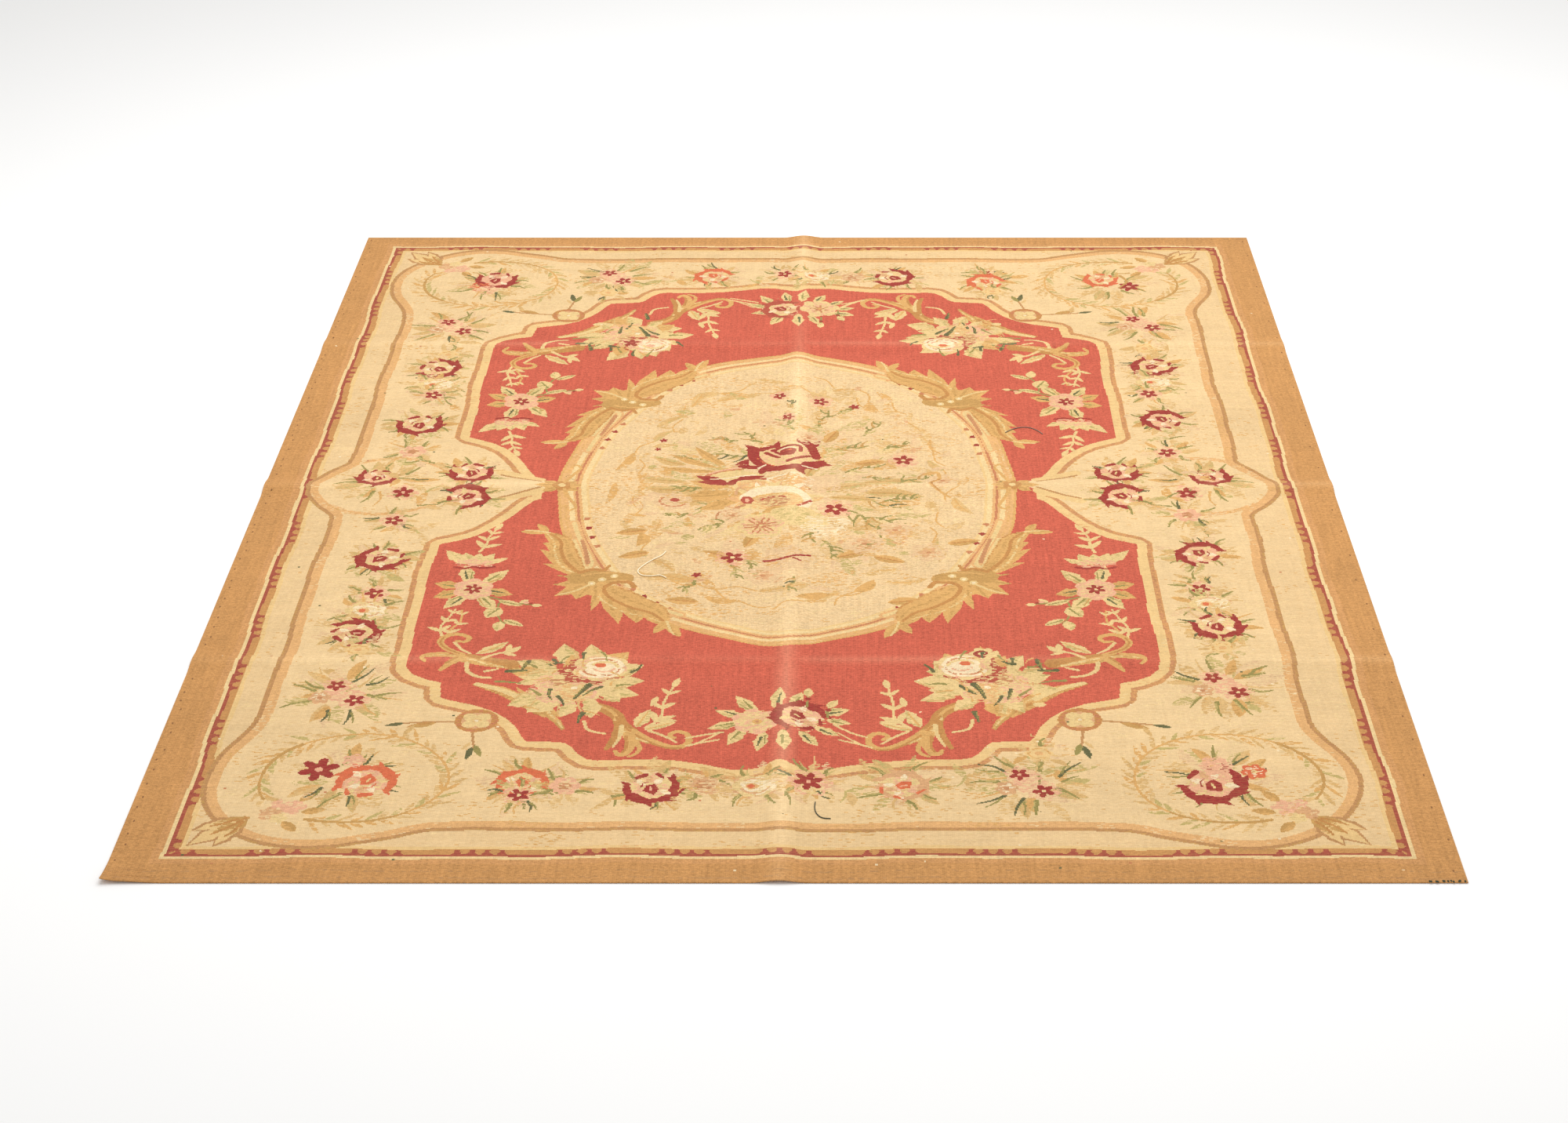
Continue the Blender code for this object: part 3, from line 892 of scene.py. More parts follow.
def wreath(pen, seed):
    """The oval wreath in each corner of the border, open where a knot of small flowers ties it."""
    chance = random.Random(seed)
    turn = 48
    for k in range(WREATH_PAIRS):
        a = math.radians(turn + 22 + 316 * k / (WREATH_PAIRS - 1))
        x, y = WREATH[0] * math.cos(a), WREATH[1] * math.sin(a)
        way = math.degrees(math.atan2(WREATH[1] * math.cos(a), -WREATH[0] * math.sin(a)))
        for side in (-1, 1):
            p = pen.at(x, y, way + side * chance.uniform(28, 48))
            leaf(p, chance.uniform(30, 58), chance.uniform(8, 13),
                chance.choice(("green_pale", "pale_leaf", "light_gold", "olive_pale")), share=0.8)
    for start, end, shade in ((turn + 20, turn + 86, "olive"), (turn + 86, turn + 190, "light_gold"),
            (turn + 190, turn + 262, "light_gold"), (turn + 262, turn + 340, "olive")):
        a = np.radians(np.linspace(start, end, 10))
        stem = np.column_stack([WREATH[0] * np.cos(a), WREATH[1] * np.sin(a)])
        pen.line(stem, 9 if shade == "olive" else 6, shade, tip=5)
    knot = pen.at(WREATH[0] * math.cos(math.radians(turn)), WREATH[1] * math.sin(math.radians(turn)))
    for x, y, r, shade in ((-22, -14, 26, "pink"), (16, 6, 24, "brown_pink_pale"),
            (-2, 22, 18, "leaf_cream"), (6, -26, 16, "pink")):
        knot.at(x, y).fill(lobed(r, 5, 0.3, x), shade, share=0.8)
    for x, y, heading in ((-30, -34, 230), (-40, 4, 190), (-12, 34, 130)):
        leaf(knot.at(x, y, heading), 46, 22, "olive", shade="light_gold")
    knot.line([(-60, -40), (-86, -44), (-104, -30)], 6, "olive", tip=4)


def flower(pen, kind, seed=0):
    """One flower of the border, of a named kind."""
    if kind == "maroon rose":
        nosegay(pen, 74, seed)
        rose(pen, 54, opening=40 + 50 * (seed % 4))
    elif kind == "pale maroon rose":
        nosegay(pen, 72, seed)
        rose(pen, 52, petal="pink", blush="leaf_cream", opening=-60 + 50 * (seed % 3))
    elif kind == "coral rose":
        nosegay(pen, 74, seed)
        rose(pen, 50, rim="coral", petal="leaf_cream", heart="coral", blush="pink",
            opening=240 + 30 * (seed % 3))
    elif kind == "peach rose":
        nosegay(pen, 80, seed, 9, 6)
        rose(pen, 50, rim="brown_pink_pale", petal="leaf_cream", heart="coral", blush="pink", opening=200)
        for turn in (200, 260, 330):
            pen.at(0, 0, turn).line([(38, -8), (44, 8)], 8, "coral", tip=5)
    elif kind == "cream rose":
        nosegay(pen, 66, seed, 7, 4)
        pen.fill(lobed(50, 6, 0.2, 0.3, squash=0.86), "brown_pink_pale", share=0.5)
        pen.fill(lobed(45, 6, 0.2, squash=0.86), "leaf_cream")
        pen.fill(lobed(38, 6, 0.2, 0.5, squash=0.8) + (6, 0), "white_cream", share=0.75)
        pen.line(arc(28, 200, 340), 7, "brown_pink_pale", tip=4, share=0.8)
        pen.line(arc(30, 40, 130), 6, "brown_pink_pale", tip=4, share=0.6)
        pen.spot(-6, 0, 13, 10, "peach")
        pen.spot(-8, 0, 7, 7, "coral")
    elif kind == "pink":
        nosegay(pen, 58, seed, 6, 4)
        pen.fill(lobed(32, 6, 0.25), "pink", share=0.85)
        pen.fill(lobed(14, 5, 0.3), "brown_pink", share=0.7)
    elif kind == "brown pink":
        nosegay(pen, 52, seed, 5, 2)
        pen.fill(lobed(34, 7, 0.2), "brown_pink_pale", share=0.7)
        pen.fill(lobed(20, 6, 0.3), "brown_pink", share=0.55)
    elif kind == "star":
        nosegay(pen, 56, seed, 6, 5)
        star(pen, 22, 5, "maroon", "thread_cream", "pink", phase=seed % 3)
    elif kind == "yellow":
        nosegay(pen, 50, seed, 7, 2)
        pen.fill(lobed(28, 6, 0.25), "yellow_cream")
        pen.line(arc(20, 0, 300), 5, "light_gold", share=0.6)
        pen.spot(0, 0, 8, 7, "peach")
    elif kind == "dark star":
        nosegay(pen, 62, seed, 7, 5)
        pen.at(2, -6).fill(lobed(46, 6, 0.28), "pink", share=0.6)
        pen.at(4, -20).fill(lobed(24, 5, 0.3), "leaf_cream", share=0.7)
        star(pen, 30, 6, "maroon", "pink", None)
        pen.spot(0, 0, 12, 10, "maroon")
        pen.spot(0, 0, 5, 5, "pink")
    elif kind == "stars":
        nosegay(pen, 96, seed, 10, 9)
        pen.at(0, 6).fill(lobed(36, 6, 0.25), "pink", share=0.6)
        star(pen.at(-18, 34), 20, 5, "maroon", "pink", "pink", phase=1)
        star(pen.at(26, -22), 22, 5, "maroon", "thread_cream", "pink", phase=2)
        floret(pen.at(-44, -12), 24, "brown_pink_pale", "brown_pink")


BORDER_ROWS = (
    # kind, x, y
    ("stars", -512, 1238), ("yellow", -522, 1140), ("coral rose", -248, 1247), ("star", -60, 1262),
    ("cream rose", 22, 1246), ("brown pink", 126, 1240),
    ("maroon rose", 232, 1238), ("star", 482, 1262), ("coral rose", 482, 1208), ("yellow", 500, 1146),
    ("coral rose", -505, -1206), ("star", -508, -1246), ("pink", -424, -1214),
    ("maroon rose", -258, -1226), ("brown pink", -160, -1214), ("cream rose", -64, -1216),
    ("dark star", 39, -1200), ("peach rose", 214, -1216), ("stars", 456, -1212), ("yellow", 480, -1106),
    ("stars", -906, 905), ("yellow", -896, 740), ("maroon rose", -908, 655), ("cream rose", -900, 560),
    ("star", -900, 500), ("maroon rose", -912, 335), ("pink", -908, 190),
    ("star", -902, -156), ("maroon rose", -900, -330), ("star", -892, -484), ("cream rose", -898, -556),
    ("maroon rose", -908, -648), ("yellow", -894, -718),
    ("stars", -890, -890),
    ("stars", 868, 925), ("yellow", 864, 770), ("maroon rose", 876, 666), ("cream rose", 872, 572),
    ("star", 850, 506), ("pale maroon rose", 868, 362), ("star", 862, 186),
    ("pink", 874, -126), ("pale maroon rose", 882, -306), ("star", 866, -464), ("cream rose", 878, -528),
    ("maroon rose", 882, -620), ("yellow", 878, -712),
    ("stars", 868, -862),
)


def border_leaves(pen):
    """Faint leaves that lie in threes between the border's flowers."""
    chance = random.Random(17)
    spots = [(side * 885, y) for side in (-1, 1) for y in range(-900, 1000, 95)]
    spots += [(x, end * 1222) for end in (-1, 1) for x in range(-520, 560, 95)]
    for x, y in spots:
        p = pen.at(x + chance.uniform(-45, 45), y + chance.uniform(-40, 40), chance.uniform(0, 360))
        for k in range(3):
            shade = chance.choice(("pale_leaf", "light_gold", "olive_pale", "pink_pale", "green_pale"))
            leaf(p.at(0, 0, 120 * k + chance.uniform(-30, 30)), chance.uniform(40, 70),
                chance.uniform(14, 26), shade, bend=chance.uniform(-6, 6),
                share=chance.choice((0.5, 0.7, 0.9)))
        blade(p.at(0, 0, chance.uniform(0, 360)), 36, 7, chance.choice(("green_pale", "green")), 3)


def border_flowers(pen):
    for seed, (kind, x, y) in enumerate(BORDER_ROWS):
        flower(pen.at(x, y), kind, seed)


def wreath_bouquet(pen, kind, seed):
    nosegay(pen, 92, seed, 12, 8)
    if kind == "coral":
        star(pen.at(-60, 28), 40, 6, "maroon", "pink")
        rose(pen.at(36, -14), 58, rim="coral", petal="pink", heart="coral", blush="leaf_cream", opening=250)
        pen.at(4, 56).fill(lobed(24, 5, 0.2), "pink", share=0.8)
    elif kind == "maroon":
        rose(pen.at(-16, -22), 64, opening=110, petal="pink", blush="leaf_cream")
        pen.at(-4, 40).fill(lobed(34, 6, 0.2), "pink", share=0.8)
        floret(pen.at(66, 20), 26, "coral", "leaf_cream")
    elif kind == "dark":
        rose(pen.at(8, 30), 56, petal="pink", opening=75)
        pen.at(-30, -20).fill(lobed(34, 6, 0.25), "coral", share=0.5)
        pen.at(-10, -36).fill(lobed(30, 6, 0.25), "pink", share=0.6)
    else:
        rose(pen.at(-26, 34), 46, rim="coral", petal="leaf_cream", heart="coral", blush="pink", opening=60)
        star(pen.at(46, -14), 30, 6, "maroon", "pink")
        pen.line([(30, 60), (44, 20), (20, -20)], 10, "olive", tip=5)


def rosette(pen):
    """The small round rosette where the border's twigs meet the red field's frame."""
    pen.fill(lobed(40, 1, 0.0), "brown_pink_pale")
    pen.line(arc(36, 0, 360, 1.0, 24), 13, "scroll_gold")
    pen.line(arc(36, 0, 360, 1.0, 24), 9, "rosy_brown", share=0.55)
    pen.fill(lobed(33, 4, 0.45, math.pi / 4, 1.0), "leaf_cream")
    pen.spot(0, 0, 10, 8, "pale_leaf", share=0.6)
    pen.spot(0, 0, 4, 4, "white_cream")


def cartouche(pen):
    """One side's cartouche: two roses towards the medallion and sprays in the pointed oval."""
    for x, y in ((744, 74), (744, -50)):
        p = pen.at(x, y)
        nosegay(p, 70, x + y, 7, 6)
        rose(p, 52, petal="pink", blush="leaf_cream", opening=80 if y > 0 else -40)
    p = pen.at(938, 22)
    nosegay(p, 92, 31, 12, 9)
    rose(pen.at(958, 46), 46, petal="pink", blush="leaf_cream", opening=95)
    star(pen.at(892, -34), 24, 5, "maroon", "pink", "pink")
    for x, y, heading in ((850, 120, 190), (850, -96, 170), (806, 100, 200), (806, -80, 160)):
        blade(pen.at(x, y, heading), 46, 7, "green")
        leaf(pen.at(x - 14, y, heading + 30), 44, 20, "pale_leaf")


# Medallion
RING_LEAVES, GROUND_LEAVES, BOUQUET_LEAVES = 44, 190, 110


def medallion_ground(pen):
    """The ring of pale golden leaves inside the oval frame."""
    chance = random.Random(8)
    for k in range(RING_LEAVES):
        a = 2 * math.pi * (k + chance.uniform(-0.3, 0.3)) / RING_LEAVES
        shrink = chance.uniform(0.74, 0.86)
        x, y = 455 * shrink * math.cos(a), 661 * shrink * math.sin(a)
        way = math.degrees(math.atan2(661 * math.cos(a), -455 * math.sin(a)))
        p = pen.at(x, y, way + chance.choice((0, 180)) + chance.uniform(-35, 35))
        shade = chance.choice(("light_gold", "pale_leaf", "pale_leaf", "olive_pale"))
        leaf(p, chance.uniform(60, 110), chance.uniform(18, 34), shade,
            chance.choice((None, "light_gold")), bend=chance.uniform(-14, 14),
            share=chance.choice((0.55, 0.8, 1.0)))
        if chance.random() < 0.5:
            p.line([(0, 0), (-40, 14), (-70, 4)], 5, "light_gold", tip=4)
    # Small faint leaves lie scattered over all of the ground
    for _ in range(GROUND_LEAVES):
        a, reach = chance.uniform(0, 2 * math.pi), math.sqrt(chance.uniform(0.05, 0.74))
        p = pen.at(445 * reach * math.cos(a), 650 * reach * math.sin(a),
            chance.choice((10, 35, 70, 110, 150, 170)) + chance.uniform(-20, 20))
        shade = chance.choice(("pale_leaf", "pale_leaf", "light_gold", "olive_pale", "pink_pale",
            "green_pale", "brown_pink_pale"))
        leaf(p, chance.uniform(24, 62), chance.uniform(12, 24), shade, bend=chance.uniform(-8, 8),
            share=chance.choice((0.45, 0.6, 0.8)))


TWIGS = (
    # start, heading, length, yarn: the sprigs round the central bouquet
    (-90, 240, 128, 90, "dark_green"), (-150, 250, 165, 70, "green"), (-110, 175, 178, 120, "dark_green"),
    (90, 205, 12, 90, "green"), (110, 90, 20, 120, "green"),
    (150, 60, -10, 80, "dark_green"), (-200, 10, 190, 100, "green"), (-150, -60, 205, 110, "dark_green"),
    (120, -40, -28, 150, "dark_green"), (90, -90, -48, 190, "green"),
    (-70, -130, 232, 90, "green"), (20, -150, -80, 120, "dark_green"), (-160, -150, 215, 90, "green"),
    (60, -240, -70, 110, "green"), (150, -140, -20, 110, "green"),
    (-120, -330, -60, 90, "green"), (170, -230, -110, 110, "green"), (-140, -360, -75, 70, "green"),
    (-20, 300, 100, 120, "green"), (40, 330, 70, 110, "green"),
    (150, 280, 60, 100, "green"), (-20, 420, 90, 60, "dark_green"), (90, 400, 45, 70, "green"),
    (200, 200, 30, 80, "green"), (-230, 150, 160, 70, "green"),
    (230, 20, 30, 110, "green"), (200, -60, 12, 90, "green"), (-250, -120, 190, 60, "green"),
    (0, -420, -100, 70, "dark_green"), (-210, -430, 240, 60, "green"),
)


def centre_bouquet(pen):
    chance = random.Random(21)
    # Pale leaves spread behind all the flowers
    for _ in range(BOUQUET_LEAVES):
        heading = chance.uniform(0, 360)
        a = math.radians(heading)
        reach = chance.uniform(0.3, 1.0)
        p = pen.at(250 * reach * math.cos(a) - 20, 360 * reach * math.sin(a) - 10,
            heading + chance.uniform(-30, 30))
        leaf(p, chance.uniform(60, 120), chance.uniform(20, 44),
            chance.choice(("pale_leaf", "light_gold", "olive_pale", "leaf_cream", "pink_pale",
            "green_pale")), bend=chance.uniform(-12, 12), share=chance.choice((0.4, 0.6)))
    for x, y, heading, length, width in ((-250, 30, 165, 110, 34), (-230, -10, 175, 120, 34),
            (-200, -50, 190, 100, 36), (140, 20, 5, 150, 34), (150, -20, -8, 140, 34),
            (-260, 120, 150, 90, 30)):
        leaf(pen.at(x, y, heading), length, width, "olive_pale", "olive", bend=8)
    for x, y, heading, length, yarn in TWIGS:
        p = pen.at(x, y, heading)
        length *= 0.82
        p.line([(0, 0), (length * 0.35, length * 0.09), (length * 0.7, -length * 0.03),
            (length, length * 0.04)], 7, "green", tip=5, share=0.85)
        for k in range(4):
            side = chance.choice((-1, 1))
            shade = chance.choice((yarn, "green", "green_pale", "olive"))
            blade(p.at(length * (0.15 + 0.22 * k), length * 0.04, side * chance.uniform(25, 60)),
                length * chance.uniform(0.22, 0.44), 8, shade, side * 4)
    for x, y, heading in ((-140, -330, 150), (90, -320, 20), (170, -320, -20), (-320, -300, 200),
            (330, -260, 10), (60, 240, 70), (-90, -210, 250), (130, 130, 10), (-330, -200, 190),
            (-200, -520, 170), (200, -520, 10)):
        leaf(pen.at(x, y, heading), 74, 32, "light_gold", "scroll_gold", shade="olive")
    # Feathery golden leaves behind the flowers, to the left and right
    for x, y, heading, length, width in ((-150, 10, 165, 100, 52), (-150, -20, 190, 110, 56),
            (-150, -50, 215, 90, 46), (-130, -10, 240, 90, 40), (-190, 110, 150, 130, 26),
            (-170, 120, 128, 120, 30), (-190, 90, 172, 130, 26), (50, -10, 12, 130, 30),
            (70, -36, -12, 120, 30), (30, -110, -48, 120, 34), (-90, -110, 226, 80, 26),
            (20, 60, 70, 90, 40)):
        leaf(pen.at(x, y, heading), length, width, "light_gold" if x < 0 else "olive_pale", "olive",
            teeth=2, bend=6)
    for part in (maroon_rose, half_rose, between_petals, white_rose, faint_flowers, small_stars, gold_hook):
        part(pen)


def maroon_rose(pen):
    """Dark outer petals in broad strokes, broken lines between the pale ones, a maroon heart."""
    p = pen.at(-28, 168)
    p.fill(lobed(72, 6, 0.1, 0.3, squash=0.84) + (-2, -4), "leaf_cream")
    p.fill(lobed(66, 6, 0.1, 0.3, squash=0.84) + (-2, -4), "pink", share=0.3)
    for points, width, tip in ((((-80, 34), (-78, -6), (-62, -40), (-40, -60)), 30, 24),
            (((-50, -60), (-8, -66), (36, -62)), 26, 22), (((34, 70), (56, 46), (70, -4)), 28, 22),
            (((52, -50), (80, -34)), 36, 30), (((-62, 34), (-34, 48)), 20, 10),
            (((-104, -52), (-74, -58), (-50, -52)), 20, 14)):
        p.line(points, width, "maroon", tip=tip)
    for x, y, heading in ((-86, 40, 125), (-98, -34, 200), (-52, -74, 245), (34, -76, 290), (84, -34, 335),
            (62, 62, 50), (-30, 52, 70)):
        p.at(x, y, heading).fill([(-14, -16), (8, -12), (26, 2), (4, 6), (-4, 18)], "maroon")
    for points, width, tip in ((((-34, 28), (0, 44), (30, 40), (32, 14)), 11, 9),
            (((-50, 16), (-20, -10)), 12, 9), (((2, -34), (30, -18), (54, -2)), 12, 8),
            (((-28, 22), (-14, 2)), 9, 6)):
        p.line(points, width, "maroon", tip=tip)
    p.at(2, 14).fill(lobed(22, 4, 0.15, 0.5, squash=0.9), "maroon")
    p.line([(-6, 20), (10, 22)], 5, "coral", tip=4, share=0.8)
    for points in (((-66, -62), (-50, -44)), ((38, -58), (70, -62)), ((-14, 30), (2, 36), (20, 30))):
        p.line(points, 6, "white_cream", tip=4)
    p.line([(-70, -10), (-52, -36), (-24, -52)], 5, "coral", tip=4, share=0.6)


def half_rose(pen):
    """Two broad dark petals that meet below a pale one."""
    p = pen.at(-148, 50)
    p.fill(lobed(62, 5, 0.14, 0.2, squash=0.5) + (4, 14), "leaf_cream")
    p.line([(-60, 18), (-28, 44), (18, 52)], 12, "rosy_brown", tip=6, share=0.7)
    p.line([(-56, 30), (-20, 50), (14, 58)], 6, "pink", tip=5)
    for heading, length, width in ((143, 92, 40), (166, 70, 30), (34, 100, 44), (14, 84, 30)):
        leaf(p.at(-12, -38, heading), length, width, "maroon", teeth=2, bend=-6 if heading > 90 else 6)
    leaf(p.at(30, -16, 20), 56, 20, "rosy_shade")
    p.line([(-50, -2), (-16, 4), (14, 16), (50, 22)], 6, "white_cream", tip=5)


def between_petals(pen):
    """Pale petals between the dark roses and the white one."""
    p = pen.at(-18, 30)
    p.fill(lobed(62, 6, 0.14, 0.4, squash=0.74), "white_cream")
    p.fill(lobed(54, 6, 0.14, 0.4, squash=0.74), "peach", share=0.8)
    for turn in (60, 95, 130):
        p.at(0, 0, turn).line([(-8, 0), (20, 3), (42, 0)], 9, "light_gold", tip=5, share=0.7)
    p = pen.at(-100, 8)
    p.fill(lobed(48, 6, 0.16, 0.2, squash=0.8), "leaf_cream")
    p.fill(lobed(40, 6, 0.16, 0.6, squash=0.8), "peach", share=0.8)


def white_rose(pen):
    """A white rose on its side, its heart rosy, with petals hanging below it."""
    p = pen.at(-48, -52)
    for x, y, heading, length, shade in ((-60, 36, 150, 60, "leaf_cream"),
            (-30, 46, 118, 52, "white_cream"), (10, 48, 84, 54, "leaf_cream"),
            (52, 38, 48, 60, "white_cream"), (84, 8, 12, 52, "leaf_cream"), (-84, 2, 176, 56, "peach"),
            (-74, -26, 206, 52, "leaf_cream")):
        leaf(p.at(x * 0.7, y * 0.7, heading), length, 34, shade, "brown_pink_pale", shade="peach")
    p.fill(lobed(88, 7, 0.12, 0.3, squash=0.72), "leaf_cream")
    p.fill(lobed(80, 7, 0.12, 0.3, squash=0.72), "peach", share=0.5)
    p.line([(-70, 10), (-44, 34), (0, 44), (46, 34), (70, 6), (66, -26), (40, -46)], 30, "white_cream",
        tip=18)
    p.line([(-62, -2), (-40, 18), (0, 26), (36, 14)], 6, "light_gold", tip=4, share=0.8)
    p.at(-8, -8).fill(lobed(40, 7, 0.16, squash=0.72), "brown_pink", share=0.6)
    p.line([(-36, -4), (-18, 12), (10, 12), (26, -2)], 6, "rosy_shade", tip=4, share=0.7)
    p.line([(78, -4), (52, -30), (20, -54)], 9, "rosy_shade", tip=5, share=0.85)
    p.at(-68, -4).fill(lobed(15, 6, 0.12, squash=1.35), "rosy_shade")
    p.at(-68, -4).spot(0, 0, 5, 9, "pink")
    p.line([(-76, -28), (-104, -50), (-132, -64), (-136, -92)], 9, "brown_pink", tip=5)
    p.line([(-92, 26), (-86, 50), (-64, 64)], 8, "brown_pink_pale", tip=5)
    for heading, length in ((250, 70), (274, 64), (300, 60), (325, 80)):
        leaf(p.at(-10, -34, heading), length, 28, "light_gold", "olive")
    for x, y, r in ((46, -132, 48), (76, -150, 44), (10, -120, 30)):
        p.at(x, y + 52).fill(lobed(r, 5, 0.16, x), "leaf_cream")
        p.at(x, y + 52).fill(lobed(r * 0.86, 5, 0.16, x), "green_pale", share=0.35)


def faint_flowers(pen):
    """The pale flowers that lie round the roses."""
    for x, y, r, kind in ((-84, -175, 44, "peach"), (-282, -61, 38, "rose"), (214, -198, 34, "pale"),
            (-69, -404, 34, "pale"), (60, -170, 46, "white"), (-150, -130, 28, "pale"),
            (330, 40, 30, "pale"), (150, -260, 40, "pale"), (290, -300, 36, "pale"), (20, 260, 30, "pale"),
            (60, 30, 40, "blush"), (-20, -330, 50, "blush")):
        q = pen.at(x, y)
        q.fill(lobed(r * 1.25, 6, 0.25, 0.3), "pink_pale" if kind != "white" else "white_cream",
            share=0.7 if kind != "white" else 0.45)
        if kind == "peach":
            q.fill(lobed(r * 1.4, 6, 0.22, 0.2), "leaf_cream")
            q.fill(lobed(r * 1.2, 6, 0.3, 0.2), "pink", share=0.35)
            for turn in range(12, 360, 60):
                for side in (-8, 8):
                    q.at(0, 0, turn + side).line([(5, 0), (r * 0.5, side * 0.4), (r * 0.85, 0)], 6,
                        "rosy_brown", tip=4, share=0.9)
            q.spot(0, 0, 5, 5, "leaf_cream")
        elif kind == "rose":
            q.line(arc(r * 0.8, 140, 330), 7, "rosy_brown", tip=5, share=0.8)
            q.spot(4, 6, 11, 9, "rosy_shade")
        elif kind == "pale":
            q.fill(lobed(r * 0.7, 6, 0.4), "brown_pink_pale", share=0.7)
            q.spot(0, 0, 6, 5, "brown_pink")


def small_stars(pen):
    """Small maroon stars, and a maroon twig below them."""
    for x, y, r in ((-53, 496, 17), (49, 465, 20), (130, 439, 14), (-34, 374, 17), (244, 145, 24),
            (84, -95, 28), (-140, -325, 26), (-320, 247, 11), (-331, 201, 9), (-209, -404, 12)):
        star(pen.at(x, y), r, 5, "maroon", "thread_cream" if r > 15 else None, "pink" if r > 15 else None,
            phase=x)
    pen.line([(-70, -340), (-30, -332), (0, -318), (30, -312)], 9, "maroon", tip=7)
    pen.line([(-6, -330), (10, -340)], 7, "maroon", tip=5)


def gold_hook(pen):
    """The hook that stands by itself on the right."""
    pen.line([(290, 74), (318, 84), (322, 48), (302, 24), (324, -14), (346, -40)], 10, "light_gold", tip=7)
    pen.line([(322, 48), (304, 26), (322, -10)], 5, "scroll_gold", tip=4)


CORNER_KINDS = {(-1, -1): ("coral", "rose"), (1, -1): ("maroon", "maroon"), (-1, 1): ("dark", "star"),
    (1, 1): ("light", "rose")}


def motifs(pen):
    c = pen.chart
    for (sx, sy), (wreath_kind, bouquet_kind) in CORNER_KINDS.items():
        seed = 10 + 3 * sx + sy
        field = quarter_pen(c, FIELD, sx, sy)
        side_spray(field)
        scroll_side(field)
        scroll_end(field)
        corner_bouquet(field, seed, bouquet_kind)
        corner = quarter_pen(c, (-12 if sy > 0 else 4, 3), sx, sy)
        wreath(corner.at(826, 1193), seed)
        wreath_bouquet(Pen(c, sx * 826 - 10, sy * 1190), wreath_kind, seed)
        r = field.at(592, 985)
        for points in (((30, 4), (70, 6), (130, 14), (160, 22)), ((4, 34), (-2, 70), (-10, 110))):
            r.line(points, 6, "brown_line", tip=5)
        for x, y, heading, length, shade in ((78, 10, 20, 60, "olive"), (140, 16, 15, 40, "dark_green"),
                (120, 22, 70, 40, "olive_pale"), (-4, 96, 80, 46, "dark_green"),
                (-8, 90, 110, 44, "green"), (0, 80, 60, 30, "pale_leaf")):
            leaf(r.at(x, y, heading), length, length * 0.3, shade)
        rosette(r)
    for sx in (-1, 1):
        cartouche(Pen(c, -8, 12, 0 if sx > 0 else math.pi, 1, sx))
    end_bouquet(Pen(c, -20, 2, 0, 1, -1), "maroon", 3)
    end_bouquet(Pen(c, -14, 40, 0, 1, 1), "cream", 4)
    border_leaves(pen)
    border_flowers(pen)
    medallion_ground(pen.at(*MEDALLION))
    centre_bouquet(pen)


# Cloth
WIDTH, LENGTH, THICKNESS = 2.44, 3.05, 0.003
EDGE_ROUND = 0.0008
LENGTH_CREASE = {"at": -0.010, "height": 0.0065, "spread": 0.055, "phase": 0.4}
CROSS_CREASES = (
    {"at": 0.800, "height": 0.0045, "spread": 0.050, "phase": 0.0},
    {"at": 0.015, "height": 0.0055, "spread": 0.050, "phase": 1.7},
    {"at": -0.760, "height": 0.0050, "spread": 0.050, "phase": 3.4},
)
SWELL, SWELL_WAVE = 0.25, 0.62
BUCKLES = (
    {"x": -0.98, "y": 0.42, "across": 0.10, "along": 0.26, "height": 0.0030},
    {"x": 1.00, "y": 0.30, "across": 0.11, "along": 0.28, "height": 0.0035},
    {"x": 0.62, "y": 1.30, "across": 0.26, "along": 0.10, "height": 0.0030},
    {"x": -0.55, "y": -1.33, "across": 0.24, "along": 0.09, "height": 0.0025},
    {"x": 0.96, "y": -1.08, "across": 0.10, "along": 0.22, "height": 0.0025},
)
CURL_REACH, CURL_HEIGHT = 0.085, 0.0095
SLOPE_PROBE = 0.0008  # how far to each side of a place its slope is felt
MAP_FILL, MAP_GAP = 0.98, 0.01  # how much of the finish map the cloth takes, and the gap beside it
MAP_EDGES_FROM = 0.60
STATION_STEP = 40  # in stitches: how often a plain row is cut, so that no face is too long
CREASE_STITCHES = 22  # how far the close lines reach to each side of the lengthwise crease
FOLD_COLUMN, FOLD_ROWS = 476, (300, 604, 916)


def bump(distance, spread):
    return np.cos(np.minimum(np.abs(distance) / spread, 1.0) * math.pi / 2) ** 2


def ridge(crease, across, along):
    swell = 1 + SWELL * np.sin(2 * math.pi * along / SWELL_WAVE + crease["phase"])
    return crease["height"] * bump(across - crease["at"], crease["spread"]) * swell


def lift(x, y):
    """How high the underside stands above the floor."""
    total = ridge(LENGTH_CREASE, x, y) ** 2
    for crease in CROSS_CREASES:
        total = total + ridge(crease, y, x) ** 2
    for b in BUCKLES:
        away = np.hypot((x - b["x"]) / b["across"], (y - b["y"]) / b["along"])
        total = total + (b["height"] * bump(away, 1.0)) ** 2
    away = np.hypot(x + WIDTH / 2, y + LENGTH / 2)
    total = total + (CURL_HEIGHT * np.maximum(0.0, 1 - away / CURL_REACH) ** 2) ** 2
    return np.sqrt(total)


def stitch_edges(yarn, step, stations):
    """For each row, the grid lines where one run of stitches ends and the next begins."""
    rows, columns = yarn.shape
    edge = np.zeros((rows, columns * step + 1), bool)
    edge[:, step:-1:step] = yarn[:, 1:] != yarn[:, :-1]
    edge[:, stations] = True
    line = np.zeros((rows + 1, columns * step + 1), bool)
    line[:-1] |= edge
    line[1:] |= edge
    return edge, line


